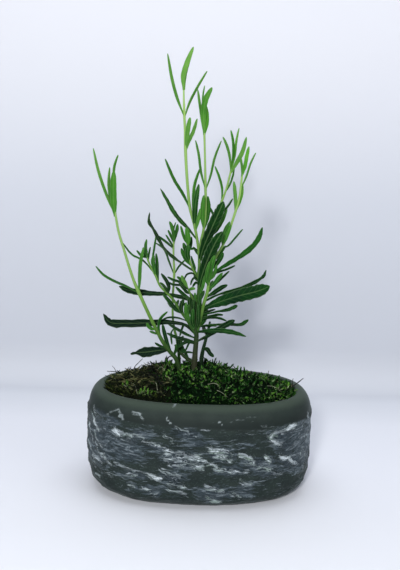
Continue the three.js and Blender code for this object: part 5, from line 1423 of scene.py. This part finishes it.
def leafAlong(leaf, number):
    width, turn, tone, depth, *flat = leaf
    last = len(flat) // 2 - 1
    guide = [seen(flat[2 * i], flat[2 * i + 1], valueAlong(depth, i / last)) for i in range(last + 1)]
    length = sum((b - a).length for a, b in zip(guide, guide[1:]))
    large = isinstance(width, list)
    swing = plant["largeRipple" if large else "ripple"]
    draw = random.Random(number)
    phase, skew = draw.uniform(0, 6.3), draw.uniform(-1, 1)

    def frameAt(share):
        centre = pathPoint(guide, share)
        before, after = pathPoint(guide, max(share - 0.01, 0)), pathPoint(guide, min(share + 0.01, 1))
        ahead = (after - before).normalized()
        sideways = ahead.cross(centre - Vector(plant["eye"])).normalized()
        return centre, ahead, sideways, sideways.cross(ahead)

    # the upper face is the one that looks up at the middle of the leaf
    faceSign = 1 if frameAt(0.5)[3].z >= 0 else -1
    blade = copyOf(bladeStart)
    rows = {}
    for vertex in blade.data.vertices:
        side, share = vertex.co.x, vertex.co.y
        if share not in rows:
            centre, ahead, sideways, upward = frameAt(share * 0.996)
            lean = Matrix.Rotation(math.radians(valueAlong(turn, share)), 3, ahead)
            if large:
                half = valueAlong(width, share) / 2
                half *= math.sqrt(max(0, 1 - (max(0, share - 0.86) / 0.14) ** 2))
            else:
                half = width * bladeShare(share) / 2
            rows[share] = centre, lean @ (sideways * faceSign), lean @ (upward * faceSign), half
        centre, sideways, upward, half = rows[share]
        ripple = math.sin(2 * math.pi * (share * length / plant["rippleLength"] + phase + 0.17 * side))
        edge = side * side
        reach = half * (1 + swing * edge * ripple)
        height = -plant["arch"] * half * abs(side) ** 1.7
        height -= plant["groove"] * half * math.exp(-(side / 0.16) ** 2)
        height += plant["ripple"] * half * edge * math.sin(ripple * 1.3 + phase + side * 2)
        if large:
            height += edgeWave(share * length, length) * edge * math.copysign(1, side)
        height += 0.05 * half * skew * side + plant["lift"]
        vertex.co = (centre + sideways * (side * reach) + upward * height) * mm
    setMarks(blade, tone=tone + draw.uniform(-0.05, 0.05))
    return blade


def stemAlong(stations, rooted, tone):
    centres = [seen(x, z, depth) for x, z, depth, radius in stations]
    radii = [station[3] for station in stations]
    if rooted:
        centres = [Vector((centres[0].x, centres[0].y, plant["stemFoot"])), *centres]
        radii = [radii[0], *radii]
    steps = (len(centres) - 1) * 4
    shares = [step / steps for step in range(steps + 1)]
    stem = tube("stem", [pathPoint(centres, share) for share in shares],
                [valueAlong(radii, share) for share in shares], plant["stemSides"])
    setMarks(stem, tone=tone)
    stem.data.materials.append(stemPaint)
    smoothed(stem)
    return stem


def foliage(name, rooted, shoots, leaves, firstNumber):
    piece = joined([leafAlong(leaf, firstNumber + index) for index, leaf in enumerate(leaves)], name)
    for material in [leafFace, leafBack, stemPaint]:
        piece.data.materials.append(material)
    outwards(piece)
    thicken = piece.modifiers.new("thickness", "SOLIDIFY")
    thicken.thickness = plant["thickness"] * mm
    thicken.offset = -1
    thicken.material_offset = 1
    activate(piece)
    bpy.ops.object.modifier_apply(modifier="thickness")
    stems = [stemAlong(rooted, True, 0.5), *[stemAlong(shoot, False, tone) for shoot, tone in shoots]]
    piece = joined([piece, *stems], name)
    smoothed(piece)
    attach(piece, "root")
    print(name, "has", len(leaves), "leaves and", len(piece.data.polygons), "faces")
    return piece


# veins that follow a blade's own layout: the midrib, side veins that slant forwards, and the margin
bladeVeins, vector, spacing = newGroup("bladeVeins", ["Midrib", "Veins", "Margin", "Along"], Spacing=13.0)
x, y, z = partsOf(vector)
side = abs(x * 2.0 - 1.0)
slant = (y * spacing - side * 1.4) * math.pi
newNode("NodeGroupOutput", {
    "Midrib": between(side, 0.13, 0.03), "Veins": between(abs(maths("SINE", slant)), 0.3, 0.02),
    "Margin": between(side, 0.8, 0.98), "Along": y})

leafTones = {
    "face": [(0.0, 3, 24, 15), (0.13, 7, 46, 15), (0.3, 24, 70, 20), (0.5, 42, 100, 24), (0.7, 58, 126, 28),
             (0.85, 82, 146, 42), (1.0, 116, 170, 72)],
    "back": [(0.0, 4, 25, 12), (0.15, 10, 50, 12), (0.3, 27, 77, 23), (0.6, 60, 119, 36),
             (1.0, 114, 164, 74)],
    "midrib": (118, 150, 96),
    "felt": (112, 142, 100),
}


def leafMaterial(name, stops, ribShare, feltShare):
    newMaterial(name, Specular_IOR_Level=0.04)
    veins = useGroup(bladeVeins, Vector=put("ShaderNodeUVMap", "UV"))
    patches = mottled(0.12, 2.2)
    # a blade is paler at its root and tip than in its middle
    ends = (abs(veins["Along"] - 0.45) - 0.25) * 0.22
    colour = ramp((patches["Shade"] - 0.5) * 0.5 + mark("tone") + ends, *stops)
    pale = blended(0.45, colour, leafTones["midrib"])
    colour = layered(colour, (veins["Midrib"] * ribShare, pale), (veins["Veins"] * 0.24, pale))
    felt = between(patches["Grain"], 0.45, 0.75) * feltShare + veins["Margin"] * 0.42
    colour = blended(felt, colour, blended(0.6, colour, leafTones["felt"]))
    paint(Roughness=between(patches["Shade"], 0.3, 0.7, 0.48, 0.66))
    relief = patches["Grain"] * 0.35 - veins["Midrib"] * 0.8 - veins["Veins"] * 0.35
    return finished(colour, relief, 0.5, 0.25)


stemTones = [(0.0, 48, 49, 36), (0.08, 42, 52, 32), (0.15, 34, 56, 26), (0.32, 44, 80, 30),
             (0.48, 100, 138, 62), (0.7, 124, 160, 86), (1.0, 142, 178, 98)]
leftTones = [(0.0, 28, 42, 22), (0.22, 46, 74, 30), (0.42, 82, 120, 48), (0.65, 110, 146, 72),
             (1.0, 124, 158, 88)]
darkTones = [(0.0, 6, 22, 10), (0.5, 14, 40, 18), (1.0, 24, 58, 26)]


def stemMaterial(name, low, high, stops):
    # green shoots that turn brown and corky towards the moss
    newMaterial(name, Roughness=0.6, Specular_IOR_Level=0.08)
    x, y, height = partsOf(work["place"])
    grain = mottled(0.2, 1.8)["Grain"]
    fibres = useGroup(brushStreaks, "Streak", Length=2.4, Height=0.12, Warp=0.6)
    up = put("ShaderNodeMapRange", "Result", {"Value": height, "From Min": low, "From Max": high})
    colour = ramp((mark("tone") - 0.5) * 0.6 + (fibres - 0.5) * 0.3 + up, *stops)
    colour = blended(between(grain, 0.5, 0.8, 0.0, 0.12), colour, (150, 168, 140))
    return finished(colour, grain * 0.4 + fibres, 0.5, 0.3)


leafFace = leafMaterial("leafFace", leafTones["face"], 0.5, 0.05)
leafBack = leafMaterial("leafBack", leafTones["back"], 0.55, 0.06)
bladeStart = bladeMaster()
stemPaint = stemMaterial("mainStem", 84, 270, stemTones)
mainLeaves = [*tallLeaves, *centreLeaves, *backLeaves, *rightLeaves, *trunkLeaves, *innerLeaves,
              *lowLeftLeaves, *smallLeaves]
# each side shoot, and how pale it is for its height, with 0.5 for as pale as the trunk
mainShoots = [(centreShoot, 0.5), (backShoot, 0.5), (rightShoot, 0.8), (innerShoot, 0.6),
              (lowLeftShoot, 0.7), (smallShoot, 0.7), (baseTwig, 0.62)]
mainFoliage = foliage("main_foliage", trunk, mainShoots, mainLeaves, 100)
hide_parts("main_leafy_stem")

stemPaint = stemMaterial("leftStem", 78, 180, leftTones)
leftFoliage = foliage("left_foliage", leftStem, [], leftLeaves, 400)
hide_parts("left_leafy_stem")

stemPaint = stemMaterial("thinStem", 40, 220, stemTones)
thinFoliage = foliage("thin_foliage", thinStem, [], thinLeaves, 500)
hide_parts("thin_leafy_stem")

stemPaint = stemMaterial("darkStem", 84, 122, darkTones)
rightFoliage = foliage("right_foliage", darkStem, [], darkLeaves, 600)
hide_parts("right_leafy_stem")
remove(bladeStart)
